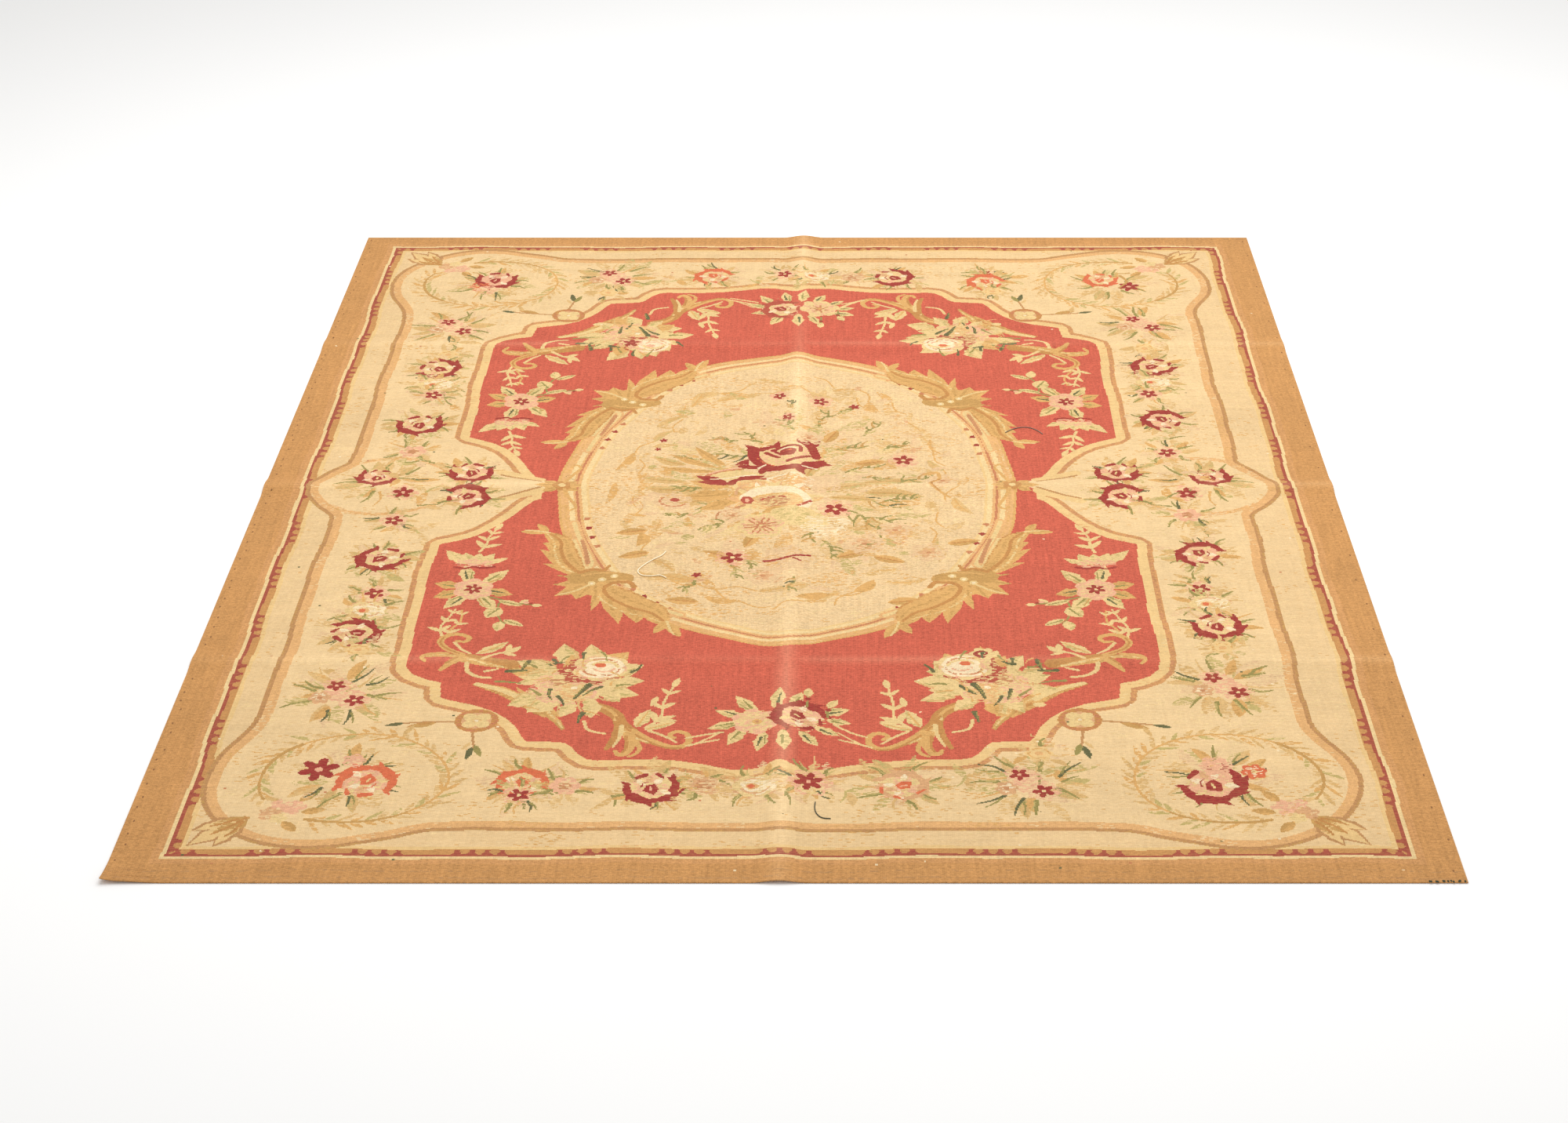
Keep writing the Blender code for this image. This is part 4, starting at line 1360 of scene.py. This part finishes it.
def zip_up(low, high, faces):
    """Fills the strip between two rows of (place, vertex) with triangles."""
    p = q = 0
    last_p, last_q = len(low) - 1, len(high) - 1
    while p < last_p or q < last_q:
        if q == last_q or (p < last_p and low[p + 1][0] <= high[q + 1][0]):
            faces.append((low[p][1], low[p + 1][1], high[q][1]))
            p += 1
        else:
            faces.append((low[p][1], high[q + 1][1], high[q][1]))
            q += 1


class Panel:
    """One closed piece of the cloth, between two fold lines or a fold line and an edge."""

    def __init__(self, top, under, i0, i1, j0, j1):
        self.places, self.faces, self.codes, self.parts = [], [], [], []
        self.box = (i0, i1, j0, j1)
        self.ids = {}
        for part, (yarn, step, edge, line) in enumerate((top, under)):
            self.weave(part, yarn, step, edge, line)
        self.sides()

    def vertex(self, part, i, j):
        key = (part, i, j)
        if key not in self.ids:
            self.ids[key] = len(self.places)
            self.places.append(key)
        return self.ids[key]

    def add(self, faces, code, part, turned=False):
        if turned:
            faces = [f[::-1] for f in faces]
        self.faces += faces
        self.codes += [code] * len(faces)
        self.parts += [part] * len(faces)

    def weave(self, part, yarn, step, edge, line):
        i0, i1, j0, j1 = self.box

        def row_of(j):
            return [(int(i) + i0, self.vertex(part, int(i) + i0, j))
                for i in np.flatnonzero(line[j // step, i0:i1 + 1])]

        low = row_of(j0)
        for j in range(j0, j1, step):
            high = row_of(j + step)
            ends = [int(i) + i0 for i in np.flatnonzero(edge[j // step, i0:i1 + 1])]
            p = q = 0
            for a, b in zip(ends, ends[1:]):
                p2, q2 = p, q
                while low[p2][0] < b:
                    p2 += 1
                while high[q2][0] < b:
                    q2 += 1
                if p2 == p + 1 and q2 == q + 1:
                    faces = [(low[p][1], low[p2][1], high[q2][1], high[q][1])]
                else:
                    faces = []
                    zip_up(low[p:p2 + 1], high[q:q2 + 1], faces)
                self.add(faces, int(yarn[j // step, a // step]), part, turned=part == 1)
                p, q = p2, q2
            low = high

    def sides(self):
        i0, i1, j0, j1 = self.box
        keys = list(self.ids)
        rim = {"left": i0 == 0, "right": i1 == COLUMNS, "front": j0 == 0, "back": j1 == ROWS}
        for name, axis, value, turned in (("left", 0, i0, True), ("right", 0, i1, False),
                ("front", 1, j0, False), ("back", 1, j1, True)):
            on = [k for k in keys if k[1 + axis] == value]
            runs = [sorted((k[2 - axis], self.ids[k]) for k in on if k[0] == part) for part in (0, 1)]
            faces = []
            if rim[name]:
                middle = []
                for at, _ in runs[1]:
                    i, j = (value, at) if axis == 0 else (at, value)
                    middle.append((at, self.vertex(2, i, j)))
                zip_up(runs[1], middle, faces)
                zip_up(middle, runs[0], faces)
            else:
                zip_up(runs[1], runs[0], faces)
            self.add(faces, CODE["camel"], 2, turned=turned)
        # A cut side ends with a small triangle where it meets a rounded edge
        for cut, end_i, end_j in (("left", i0, None), ("right", i1, None), ("front", None, j0),
                ("back", None, j1)):
            if rim[cut]:
                continue
            for side, value in (("left", i0), ("right", i1)) if end_i is None else (("front", j0),
                    ("back", j1)):
                if not rim[side]:
                    continue
                i, j = (value, end_j) if end_i is None else (end_i, value)
                tri = [self.ids[(0, i, j)], self.ids[(2, i, j)], self.ids[(1, i, j)]]
                flip = (cut, side) in (("left", "front"), ("right", "back"), ("front", "right"),
                    ("back", "left"))
                self.add([tuple(tri)], CODE["camel"], 2, turned=flip)

    def build(self, name, grid_x, grid_y):
        key = np.array(self.places)
        part, i, j = key.T
        round_off = np.where(part == 2, 0.0, EDGE_ROUND)
        half_w, half_l = WIDTH / 2, LENGTH / 2
        x = np.clip(grid_x[i], -half_w + round_off, half_w - round_off)
        y = np.clip(grid_y[j], -half_l + round_off, half_l - round_off)
        z = lift(grid_x[i], grid_y[j]) + np.select([part == 0, part == 1], [THICKNESS, 0.0], THICKNESS / 2)
        place = np.column_stack([x, y, z])
        d = SLOPE_PROBE
        slope = np.column_stack([lift(x - d, y) - lift(x + d, y), lift(x, y - d) - lift(x, y + d),
            np.full(len(x), 2 * d)])
        normal = slope / np.linalg.norm(slope, axis=1)[:, None]
        normal[part == 1] *= -1
        outward = np.column_stack([np.sign(x) * (np.abs(x) > half_w - 1e-5),
            np.sign(y) * (np.abs(y) > half_l - 1e-5), np.zeros(len(x))])
        rim = part == 2
        normal[rim] = outward[rim] / np.maximum(np.linalg.norm(outward[rim], axis=1), 1e-9)[:, None]

        sizes = np.array([len(f) for f in self.faces])
        loops = np.fromiter((v for f in self.faces for v in f), int, sizes.sum())
        mesh = bpy.data.meshes.new(name)
        mesh.vertices.add(len(place))
        mesh.vertices.foreach_set("co", place.ravel())
        mesh.loops.add(len(loops))
        mesh.loops.foreach_set("vertex_index", loops)
        mesh.polygons.add(len(sizes))
        mesh.polygons.foreach_set("loop_start", np.concatenate([[0], np.cumsum(sizes)[:-1]]))
        codes, parts = np.array(self.codes), np.array(self.parts)
        mesh.update(calc_edges=True)
        mesh.validate()

        colour = np.array([YARNS[n] for n in NAMES], float) / 255
        attribute = mesh.color_attributes.new("yarn", "BYTE_COLOR", "CORNER")
        per_loop = np.repeat(colour[codes], sizes, axis=0)
        attribute.data.foreach_set("color_srgb", np.column_stack([per_loop, np.ones(len(loops))]).ravel())
        mesh.polygons.foreach_set("material_index", WOOL_OF[codes].astype(np.int32))

        # Flat map for the finish: the upper face below, then the underside at half size, then the edges
        x0, x1, y0, y1 = x.min(), x.max(), y.min(), y.max()
        scale = MAP_FILL / max(x1 - x0, (y1 - y0) * 1.5 + 0.02)
        u, v = (x[loops] - x0) * scale + MAP_GAP, (y[loops] - y0) * scale + MAP_GAP
        own = np.repeat(parts, sizes)
        tall = (y1 - y0) * scale
        under = own == 1
        u[under] = (x[loops][under] - x0) * scale / 2 + MAP_GAP
        v[under] = (y[loops][under] - y0) * scale / 2 + tall + 0.02
        edge = own == 2
        u[edge] = MAP_EDGES_FROM + ((x[loops] - x0) + (y[loops] - y0))[edge] * scale * 0.2
        v[edge] = tall + 0.03 + z[loops][edge] * scale
        layer = mesh.uv_layers.new(name="OFBake")
        layer.data.foreach_set("uv", np.column_stack([u, v]).ravel())
        mesh.normals_split_custom_set_from_vertices(normal)
        thing = bpy.data.objects.new(name, mesh)
        bpy.context.scene.collection.objects.link(thing)
        return thing


# Finishes
RIB_STEP = 0.0036
# How far the rubbed wool and the painted highlight reach from each fold line, and the pale colour they
# lighten towards
FOLD_WEAR_AND_HIGHLIGHT, CROSS_FOLD_WEAR_AND_HIGHLIGHT = 0.034, 0.026
RUBBED_WOOL_AND_HIGHLIGHT = (246, 226, 184)
# Which wool each ground yarn is made up in; all other yarns are flower wool
WOOL_FAMILY = {"camel": 0, "pinkish_tan": 0, "pale": 1, "cream": 1, "yellow_cream": 1, "field_red": 2,
    "ground": 4}
WOOL_OF = np.array([WOOL_FAMILY.get(name, 3) for name in NAMES])


class Nodes:
    """A short way to write a node tree: each call adds a node and joins its inputs."""

    def __init__(self, tree):
        self.tree = tree

    def add(self, kind, inputs=(), **settings):
        node = self.tree.nodes.new(kind)
        for key, value in settings.items():
            setattr(node, key, value)
        for key, value in dict(inputs).items():
            socket = node.inputs[key]
            if isinstance(value, bpy.types.NodeSocket):
                self.tree.links.new(value, socket)
            else:
                socket.default_value = value
        return node

    def maths(self, operation, a, b=0.0, c=0.0, clamp=False):
        return self.add("ShaderNodeMath", {0: a, 1: b, 2: c}, operation=operation, use_clamp=clamp).outputs[0]

    def mix(self, factor, a, b, blend="MIX"):
        node = self.add("ShaderNodeMix", {0: factor, 6: a, 7: b}, data_type="RGBA", blend_type=blend)
        return node.outputs[2]

    def noise(self, vector, scale, detail=2.0, roughness=0.5):
        node = self.add("ShaderNodeTexNoise", {"Vector": vector, "Scale": scale, "Detail": detail,
            "Roughness": roughness})
        return node.outputs["Fac"]

    def stretch(self, vector, x, y, z=1.0):
        node = self.add("ShaderNodeVectorMath", {0: vector, 1: (x, y, z)}, operation="MULTIPLY")
        return node.outputs[0]


def tapestry_group():
    """Wool in tapestry weave: its shade, its roughness and the height of its ribs."""
    tree = bpy.data.node_groups.new("tapestry_weave", "ShaderNodeTree")
    face = tree.interface
    for name, kind, default in (("Yarn", "NodeSocketColor", (0.8, 0.7, 0.5, 1)),
            ("Mottle", "NodeSocketFloat", 0.1), ("Mottle Tint", "NodeSocketColor", (0.8, 0.5, 0.35, 1)),
            ("Streak", "NodeSocketFloat", 0.1), ("Rib Shade", "NodeSocketFloat", 0.1),
            ("Grain", "NodeSocketFloat", 1.0)):
        face.new_socket(name=name, in_out="INPUT", socket_type=kind).default_value = default
    face.new_socket(name="Base Color", in_out="OUTPUT", socket_type="NodeSocketColor")
    face.new_socket(name="Roughness", in_out="OUTPUT", socket_type="NodeSocketFloat")
    face.new_socket(name="Height", in_out="OUTPUT", socket_type="NodeSocketFloat")
    n = Nodes(tree)
    given = n.add("NodeGroupInput").outputs
    out = n.add("NodeGroupOutput")
    place = n.add("ShaderNodeTexCoord").outputs["Object"]
    spot = n.add("ShaderNodeSeparateXYZ", {0: place}).outputs
    # Wefts of slightly different dye lie side by side as short level dashes
    dashes = n.noise(n.stretch(place, 55, 300), 1.0, 2.0, 0.6)
    patches = n.noise(place, 9.0, 3.0, 0.6)
    mottle = n.maths("MULTIPLY", n.maths("SUBTRACT", dashes, 0.42), 3.2, clamp=True)
    mottle = n.maths("MULTIPLY", mottle, n.maths("MULTIPLY", patches, 1.7))
    shade = n.mix(n.maths("MULTIPLY", mottle, given["Mottle"]), given["Yarn"], given["Mottle Tint"])
    # The warps stand up as fine lengthwise ribs, broken by the single stitches
    ribs = n.maths("SINE", n.maths("MULTIPLY", spot["X"], 2 * math.pi / RIB_STEP))
    grain = n.noise(n.stretch(place, 260, 620), 1.0, 3.0, 0.7)
    coarse = n.noise(n.stretch(place, 120, 210), 1.0, 2.0, 0.6)
    long_streak = n.noise(n.stretch(place, 150, 7), 1.0, 3.0, 0.65)
    cross_streak = n.noise(n.stretch(place, 7, 130), 1.0, 3.0, 0.65)
    light = n.maths("ADD", 1.0, n.maths("MULTIPLY", n.maths("SUBTRACT", long_streak, 0.5), given["Streak"]))
    light = n.maths("ADD", light, n.maths("MULTIPLY", n.maths("SUBTRACT", cross_streak, 0.5), 0.26))
    # Painted shade: the colour is darkened between the ribs and lightened on them, in stripes
    light = n.maths("ADD", light, n.maths("MULTIPLY", ribs, given["Rib Shade"]))
    fine_part = n.maths("MULTIPLY", n.maths("SUBTRACT", grain, 0.5), 0.75)
    coarse_part = n.maths("MULTIPLY", n.maths("SUBTRACT", coarse, 0.5), 0.55)
    rough = n.maths("ADD", fine_part, coarse_part)
    light = n.maths("ADD", light, n.maths("MULTIPLY", rough, given["Grain"]))
    light = n.maths("ADD", light, n.maths("MULTIPLY", n.maths("SUBTRACT", n.noise(place, 26.0, 3.0, 0.6),
        0.5), 0.20))
    # Bands dyed a little lighter or darker run across the rug
    abrash = n.noise(n.stretch(place, 1.1, 4.2), 1.0, 3.0, 0.55)
    light = n.maths("ADD", light, n.maths("MULTIPLY", n.maths("SUBTRACT", abrash, 0.5), 0.20))
    grey = n.add("ShaderNodeCombineColor", {0: light, 1: light, 2: light}).outputs[0]
    shade = n.mix(1.0, shade, grey, "MULTIPLY")
    # The wool is rubbed pale along the old folds, and a painted highlight lightens the fold ridges as well
    wear_and_highlight = fold_wear_and_highlight(n, spot["X"], LENGTH_CREASE["at"], FOLD_WEAR_AND_HIGHLIGHT, spot["Y"], 2.3)
    for crease in CROSS_CREASES:
        cross = fold_wear_and_highlight(n, spot["Y"], crease["at"], CROSS_FOLD_WEAR_AND_HIGHLIGHT, spot["X"], 3.1)
        wear_and_highlight = n.maths("MAXIMUM", wear_and_highlight, n.maths("MULTIPLY", cross, 0.5))
    wear_and_highlight = n.maths("MULTIPLY", wear_and_highlight, n.maths("ADD", 0.35, coarse))
    rubbed_and_highlit = n.maths("ADD", 1.0, n.maths("MULTIPLY", wear_and_highlight, 0.22))
    shade = n.mix(1.0, shade, n.add("ShaderNodeCombineColor",
        {0: rubbed_and_highlit, 1: rubbed_and_highlit, 2: rubbed_and_highlit}).outputs[0], "MULTIPLY")
    shade = n.mix(n.maths("MULTIPLY", wear_and_highlight, 0.20, clamp=True), shade, (*srgb(*RUBBED_WOOL_AND_HIGHLIGHT), 1))
    tree.links.new(shade, out.inputs["Base Color"])
    tree.links.new(n.maths("ADD", 0.86, n.maths("MULTIPLY", grain, 0.1)), out.inputs["Roughness"])
    height = n.maths("ADD", n.maths("MULTIPLY", ribs, 0.35), grain)
    tree.links.new(height, out.inputs["Height"])
    return tree


def fold_wear_and_highlight(n, across, at, spread, along, pace):
    """1 on a fold line and 0 away from it, stronger in some places along the line than in others: a mask for
    rubbed wool and for a painted highlight on the fold's ridge.
    """
    near = n.maths("DIVIDE", n.maths("ABSOLUTE", n.maths("SUBTRACT", across, at)), spread)
    near = n.maths("SUBTRACT", 1.0, near, clamp=True)
    patch = n.maths("ADD", 0.55, n.maths("MULTIPLY", n.maths("SINE",
        n.maths("MULTIPLY", along, pace * 2.0)), 0.35))
    return n.maths("MULTIPLY", n.maths("POWER", near, 1.4), patch)


def wool(name, group, mottle, tint, streak, rib_shade, grain):
    """One wool: the yarn's own colour goes through the shared weave with this wool's amounts."""
    material = bpy.data.materials.new(name)
    material.use_nodes = True
    tree = material.node_tree
    n = Nodes(tree)
    shader = tree.nodes["Principled BSDF"]
    yarn = n.add("ShaderNodeVertexColor", layer_name="yarn").outputs["Color"]
    weave = n.add("ShaderNodeGroup", node_tree=group)
    tree.links.new(yarn, weave.inputs["Yarn"])
    weave.inputs["Mottle"].default_value = mottle
    weave.inputs["Mottle Tint"].default_value = (*tint, 1)
    weave.inputs["Streak"].default_value = streak
    weave.inputs["Rib Shade"].default_value = rib_shade
    weave.inputs["Grain"].default_value = grain
    bump_node = n.add("ShaderNodeBump", {"Strength": 0.35, "Distance": 0.0006,
        "Height": weave.outputs["Height"]})
    tree.links.new(weave.outputs["Base Color"], shader.inputs["Base Color"])
    tree.links.new(weave.outputs["Roughness"], shader.inputs["Roughness"])
    tree.links.new(bump_node.outputs["Normal"], shader.inputs["Normal"])
    shader.inputs["Specular IOR Level"].default_value = 0.08
    shader.inputs["Sheen Weight"].default_value = 0.02
    shader.inputs["Sheen Roughness"].default_value = 0.6
    return material


def plain(name, colour, roughness):
    """A matt finish of one colour."""
    material = bpy.data.materials.new(name)
    material.use_nodes = True
    shader = material.node_tree.nodes["Principled BSDF"]
    shader.inputs["Base Color"].default_value = (*colour, 1)
    shader.inputs["Roughness"].default_value = roughness
    return material


# Stitches
SIDE_STITCH_STEPS = {"left": 0.041, "right": 0.105}
SIDE_STITCH, SIDE_WANDER = (0.0042, 0.0080, 0.0008), (0.006, 0.013, 0.0)
SIDE_INSET, SIDE_END_GAP = 0.016, 0.03
MEND_STITCH_STEP, MEND_LENGTH = 0.0058, 0.064
MEND_STITCH, MEND_WANDER = (0.0046, 0.0070, 0.0024), (0.0030, 0.0014, 0.0002)
MEND_CORNER_GAP, MEND_INSET = 0.006, 0.0026
EDGE_STITCH_YARN, MENDING_YARN = (140, 96, 56), (58, 62, 44)


def stitch_row_tree():
    """Sews a row of small stitches along a line: one every Step, each shifted a little at random."""
    tree = bpy.data.node_groups.new("stitch_row", "GeometryNodeTree")
    face = tree.interface
    face.new_socket(name="Geometry", in_out="INPUT", socket_type="NodeSocketGeometry")
    for name, kind in (("Step", "NodeSocketFloat"), ("Stitch Size", "NodeSocketVector"),
            ("Wander", "NodeSocketVector"), ("Seed", "NodeSocketInt"), ("Yarn", "NodeSocketMaterial")):
        face.new_socket(name=name, in_out="INPUT", socket_type=kind)
    face.new_socket(name="Geometry", in_out="OUTPUT", socket_type="NodeSocketGeometry")
    n = Nodes(tree)
    given = n.add("NodeGroupInput").outputs
    line = n.add("GeometryNodeMeshToCurve", {"Mesh": given["Geometry"]}).outputs[0]
    points = n.add("GeometryNodeCurveToPoints", {"Curve": line, "Length": given["Step"]},
        mode="LENGTH").outputs[0]
    back = n.add("ShaderNodeVectorMath", {0: given["Wander"], "Scale": -1.0}, operation="SCALE").outputs[0]
    shift = n.add("FunctionNodeRandomValue", {0: back, 1: given["Wander"], "Seed": given["Seed"]},
        data_type="FLOAT_VECTOR").outputs[0]
    points = n.add("GeometryNodeSetPosition", {"Geometry": points, "Offset": shift}).outputs[0]
    bead = n.add("GeometryNodeMeshIcoSphere", {"Radius": 0.5, "Subdivisions": 1}).outputs[0]
    stitches = n.add("GeometryNodeInstanceOnPoints", {"Points": points, "Instance": bead,
        "Scale": given["Stitch Size"]}).outputs[0]
    sewn = n.add("GeometryNodeRealizeInstances", {"Geometry": stitches}).outputs[0]
    sewn = n.add("GeometryNodeSetMaterial", {"Geometry": sewn, "Material": given["Yarn"]}).outputs[0]
    tree.links.new(sewn, n.add("NodeGroupOutput").inputs[0])
    return tree


def sew(name, tree, route, step, size, wander, seed, yarn):
    """Runs the row along a route on the cloth's upper face and keeps the result as a plain mesh."""
    x, y = np.array(route).T
    places = np.column_stack([x, y, lift(x, y) + THICKNESS])
    mesh = bpy.data.meshes.new(name + "_line")
    mesh.from_pydata(places.tolist(), [(k, k + 1) for k in range(len(places) - 1)], [])
    line = bpy.data.objects.new(name + "_line", mesh)
    bpy.context.scene.collection.objects.link(line)
    row = line.modifiers.new("stitch_row", "NODES")
    row.node_group = tree
    sockets = {item.name: item.identifier for item in tree.interface.items_tree if item.in_out == "INPUT"}
    for key, value in (("Step", step), ("Stitch Size", size), ("Wander", wander), ("Seed", seed),
            ("Yarn", yarn)):
        row[sockets[key]] = value
    depsgraph = bpy.context.evaluated_depsgraph_get()
    sewn = bpy.data.objects.new(name, bpy.data.meshes.new_from_object(line.evaluated_get(depsgraph)))
    bpy.context.scene.collection.objects.link(sewn)
    bpy.data.objects.remove(line)
    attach(sewn, "root")
    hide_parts("rug")
    return sewn


def edge_stitches():
    """The sunk stitches along both sides, and the dark ones that mend the last of the front edge."""
    tree = stitch_row_tree()
    brown = plain("edge_stitch_yarn", srgb(*EDGE_STITCH_YARN), 0.95)
    dark = plain("mending_yarn", srgb(*MENDING_YARN), 0.95)
    along = np.linspace(-LENGTH / 2 + SIDE_END_GAP, LENGTH / 2 - SIDE_END_GAP, 160)
    for sign, name in ((-1, "left"), (1, "right")):
        route = np.column_stack([np.full(len(along), sign * (WIDTH / 2 - SIDE_INSET)), along])
        sew(f"side_stitches_{name}", tree, route, SIDE_STITCH_STEPS[name], SIDE_STITCH, SIDE_WANDER,
            4 + sign, brown)
    across = np.linspace(WIDTH / 2 - MEND_CORNER_GAP - MEND_LENGTH, WIDTH / 2 - MEND_CORNER_GAP, 30)
    route = np.column_stack([across, np.full(len(across), -LENGTH / 2 + MEND_INSET)])
    sew("mending_stitches", tree, route, MEND_STITCH_STEP, MEND_STITCH, MEND_WANDER, 9, dark)


# Loose ends
YARN_REST = 0.0003
# Each loose end's diameter, its colour, and its route over the cloth
LOOSE_ENDS = {"loose_end_cream": (0.0026, (250, 236, 204),
    ((-0.284, -0.298), (-0.292, -0.316), (-0.309, -0.334), (-0.327, -0.358), (-0.339, -0.384),
    (-0.331, -0.403), (-0.311, -0.408), (-0.290, -0.405), (-0.276, -0.416))),
    "loose_end_dark": (0.0020, (74, 76, 62), ((0.053, -1.272), (0.052, -1.292), (0.056, -1.311),
    (0.066, -1.324), (0.082, -1.327))), "loose_end_grey": (0.0020, (128, 116, 104),
    ((0.487, 0.292), (0.504, 0.309), (0.524, 0.319), (0.545, 0.318), (0.562, 0.304), (0.575, 0.283))), }


def loose_ends():
    """The three ends of weft yarn that lie on the cloth."""
    for name, (diameter, colour, route) in LOOSE_ENDS.items():
        line = smooth(route)
        points = np.column_stack([line, lift(line[:, 0], line[:, 1]) + THICKNESS + YARN_REST + diameter / 2])
        curve = bpy.data.curves.new(name + "_yarn", "CURVE")
        curve.dimensions = "3D"
        curve.bevel_depth = diameter / 2
        curve.bevel_resolution = 3
        curve.use_fill_caps = True
        spline = curve.splines.new("POLY")
        spline.points.add(len(points) - 1)
        for point, place in zip(spline.points, points):
            point.co = (*place, 1)
        curve.materials.append(plain(name.replace("loose_end", "yarn"), srgb(*colour), 0.95))
        end = bpy.data.objects.new(name + "_yarn", curve)
        bpy.context.scene.collection.objects.link(end)
        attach(end, "root")
        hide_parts(name)


# The rug
# Each wool's name, mottle, tint, streak, rib shade and grain; WOOL_FAMILY gives its place in this list
WOOLS = (
    ("camel_band_wool", 0.35, (176, 122, 70), 0.46, 0.03, 1.5),
    ("border_cream_wool", 0.40, (210, 168, 112), 0.16, 0.02, 0.7),
    ("red_field_wool", 0.36, (164, 70, 54), 0.50, 0.06, 1.7),
    ("flower_wool", 0.25, (200, 160, 100), 0.22, 0.03, 1.2),
    ("medallion_ground_wool", 0.60, (208, 164, 108), 0.28, 0.03, 1.45),
)


def weave_rug():
    """Draws the chart, then weaves it as eight closed panels that meet on the fold lines."""
    chart = Chart()
    pen = Pen(chart)
    draw_design(pen)
    grid_x = np.linspace(-WIDTH / 2, WIDTH / 2, COLUMNS + 1)
    grid_y = np.linspace(-LENGTH / 2, LENGTH / 2, ROWS + 1)
    stations = set(range(0, COLUMNS + 1, STATION_STEP)) | {FOLD_COLUMN, COLUMNS}
    stations |= set(range(FOLD_COLUMN - CREASE_STITCHES, FOLD_COLUMN + CREASE_STITCHES + 1, 4))
    stations = sorted(s for s in stations if s % 2 == 0)
    top = (chart.yarn, 1, *stitch_edges(chart.yarn, 1, stations))
    half = chart.yarn[::2, ::2]
    under = (half, 2, *stitch_edges(half, 2, stations))
    group = tapestry_group()
    wools = [wool(name, group, mottle, srgb(*tint), streak, rib_shade, grain)
             for name, mottle, tint, streak, rib_shade, grain in WOOLS]
    rows = (0, *FOLD_ROWS, ROWS)
    for j0, j1, end in zip(rows, rows[1:], ("front", "mid_front", "mid_back", "back")):
        for i0, i1, side in ((0, FOLD_COLUMN, "left"), (FOLD_COLUMN, COLUMNS, "right")):
            panel = Panel(top, under, i0, i1, j0, j1).build(f"fold_panel_{end}_{side}", grid_x, grid_y)
            for material in wools:
                panel.data.materials.append(material)
            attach(panel, "root")
            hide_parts("rug")


def srgb(r, g, b):
    """A colour as a linear one."""
    return tuple(c / 12.92 if c <= 0.04045 else ((c + 0.055) / 1.055) ** 2.4
        for c in (r / 255, g / 255, b / 255))


# Studio
FLOOR_HALF, FLOOR_DROP = 14.0, 0.0005
CAMERA_PLACE, CAMERA_DOWN = (0.117, -5.43543, 2.80827), 28.8405
CAMERA_LENS, CAMERA_SENSOR, CAMERA_SHIFT = 61.568, 36, -0.04185
LAMP_PLACE, LAMP_SIDES, LAMP_POWER = (0.35, 0.8, 3.7), (4.5, 4.0), 140
SKY_COLOUR, SKY_STRENGTH = (1.0, 0.99, 0.97, 1), 0.64


def studio():
    """A pale floor, a soft light from above and the camera at the photo's angle."""
    a, z = FLOOR_HALF, -FLOOR_DROP
    mesh = bpy.data.meshes.new("floor")
    mesh.from_pydata([(-a, -a, z), (a, -a, z), (a, a, z), (-a, a, z)], [], [(0, 1, 2, 3)])
    floor = bpy.data.objects.new("floor", mesh)
    bpy.context.scene.collection.objects.link(floor)
    floor.data.materials.append(plain("floor_white", (0.97, 0.97, 0.97), 0.9))

    world = bpy.data.worlds.new("studio")
    bpy.context.scene.world = world
    world.use_nodes = True
    background = world.node_tree.nodes["Background"]
    background.inputs["Color"].default_value = SKY_COLOUR
    background.inputs["Strength"].default_value = SKY_STRENGTH

    light = bpy.data.lights.new("soft_box", "AREA")
    light.shape = "RECTANGLE"
    light.size, light.size_y = LAMP_SIDES
    light.energy = LAMP_POWER
    lamp = bpy.data.objects.new("soft_box", light)
    lamp.location = LAMP_PLACE
    bpy.context.scene.collection.objects.link(lamp)

    lens = bpy.data.cameras.new("camera")
    lens.sensor_width = CAMERA_SENSOR
    lens.lens = CAMERA_LENS
    lens.shift_x = CAMERA_SHIFT
    lens.clip_end = 60
    camera = bpy.data.objects.new("camera", lens)
    camera.location = CAMERA_PLACE
    camera.rotation_euler = (math.radians(90 - CAMERA_DOWN), 0, 0)
    bpy.context.scene.collection.objects.link(camera)
    bpy.context.scene.camera = camera
    bpy.context.scene.view_settings.view_transform = "Standard"


# Everything is made in this order
studio()
weave_rug()
edge_stitches()
loose_ends()
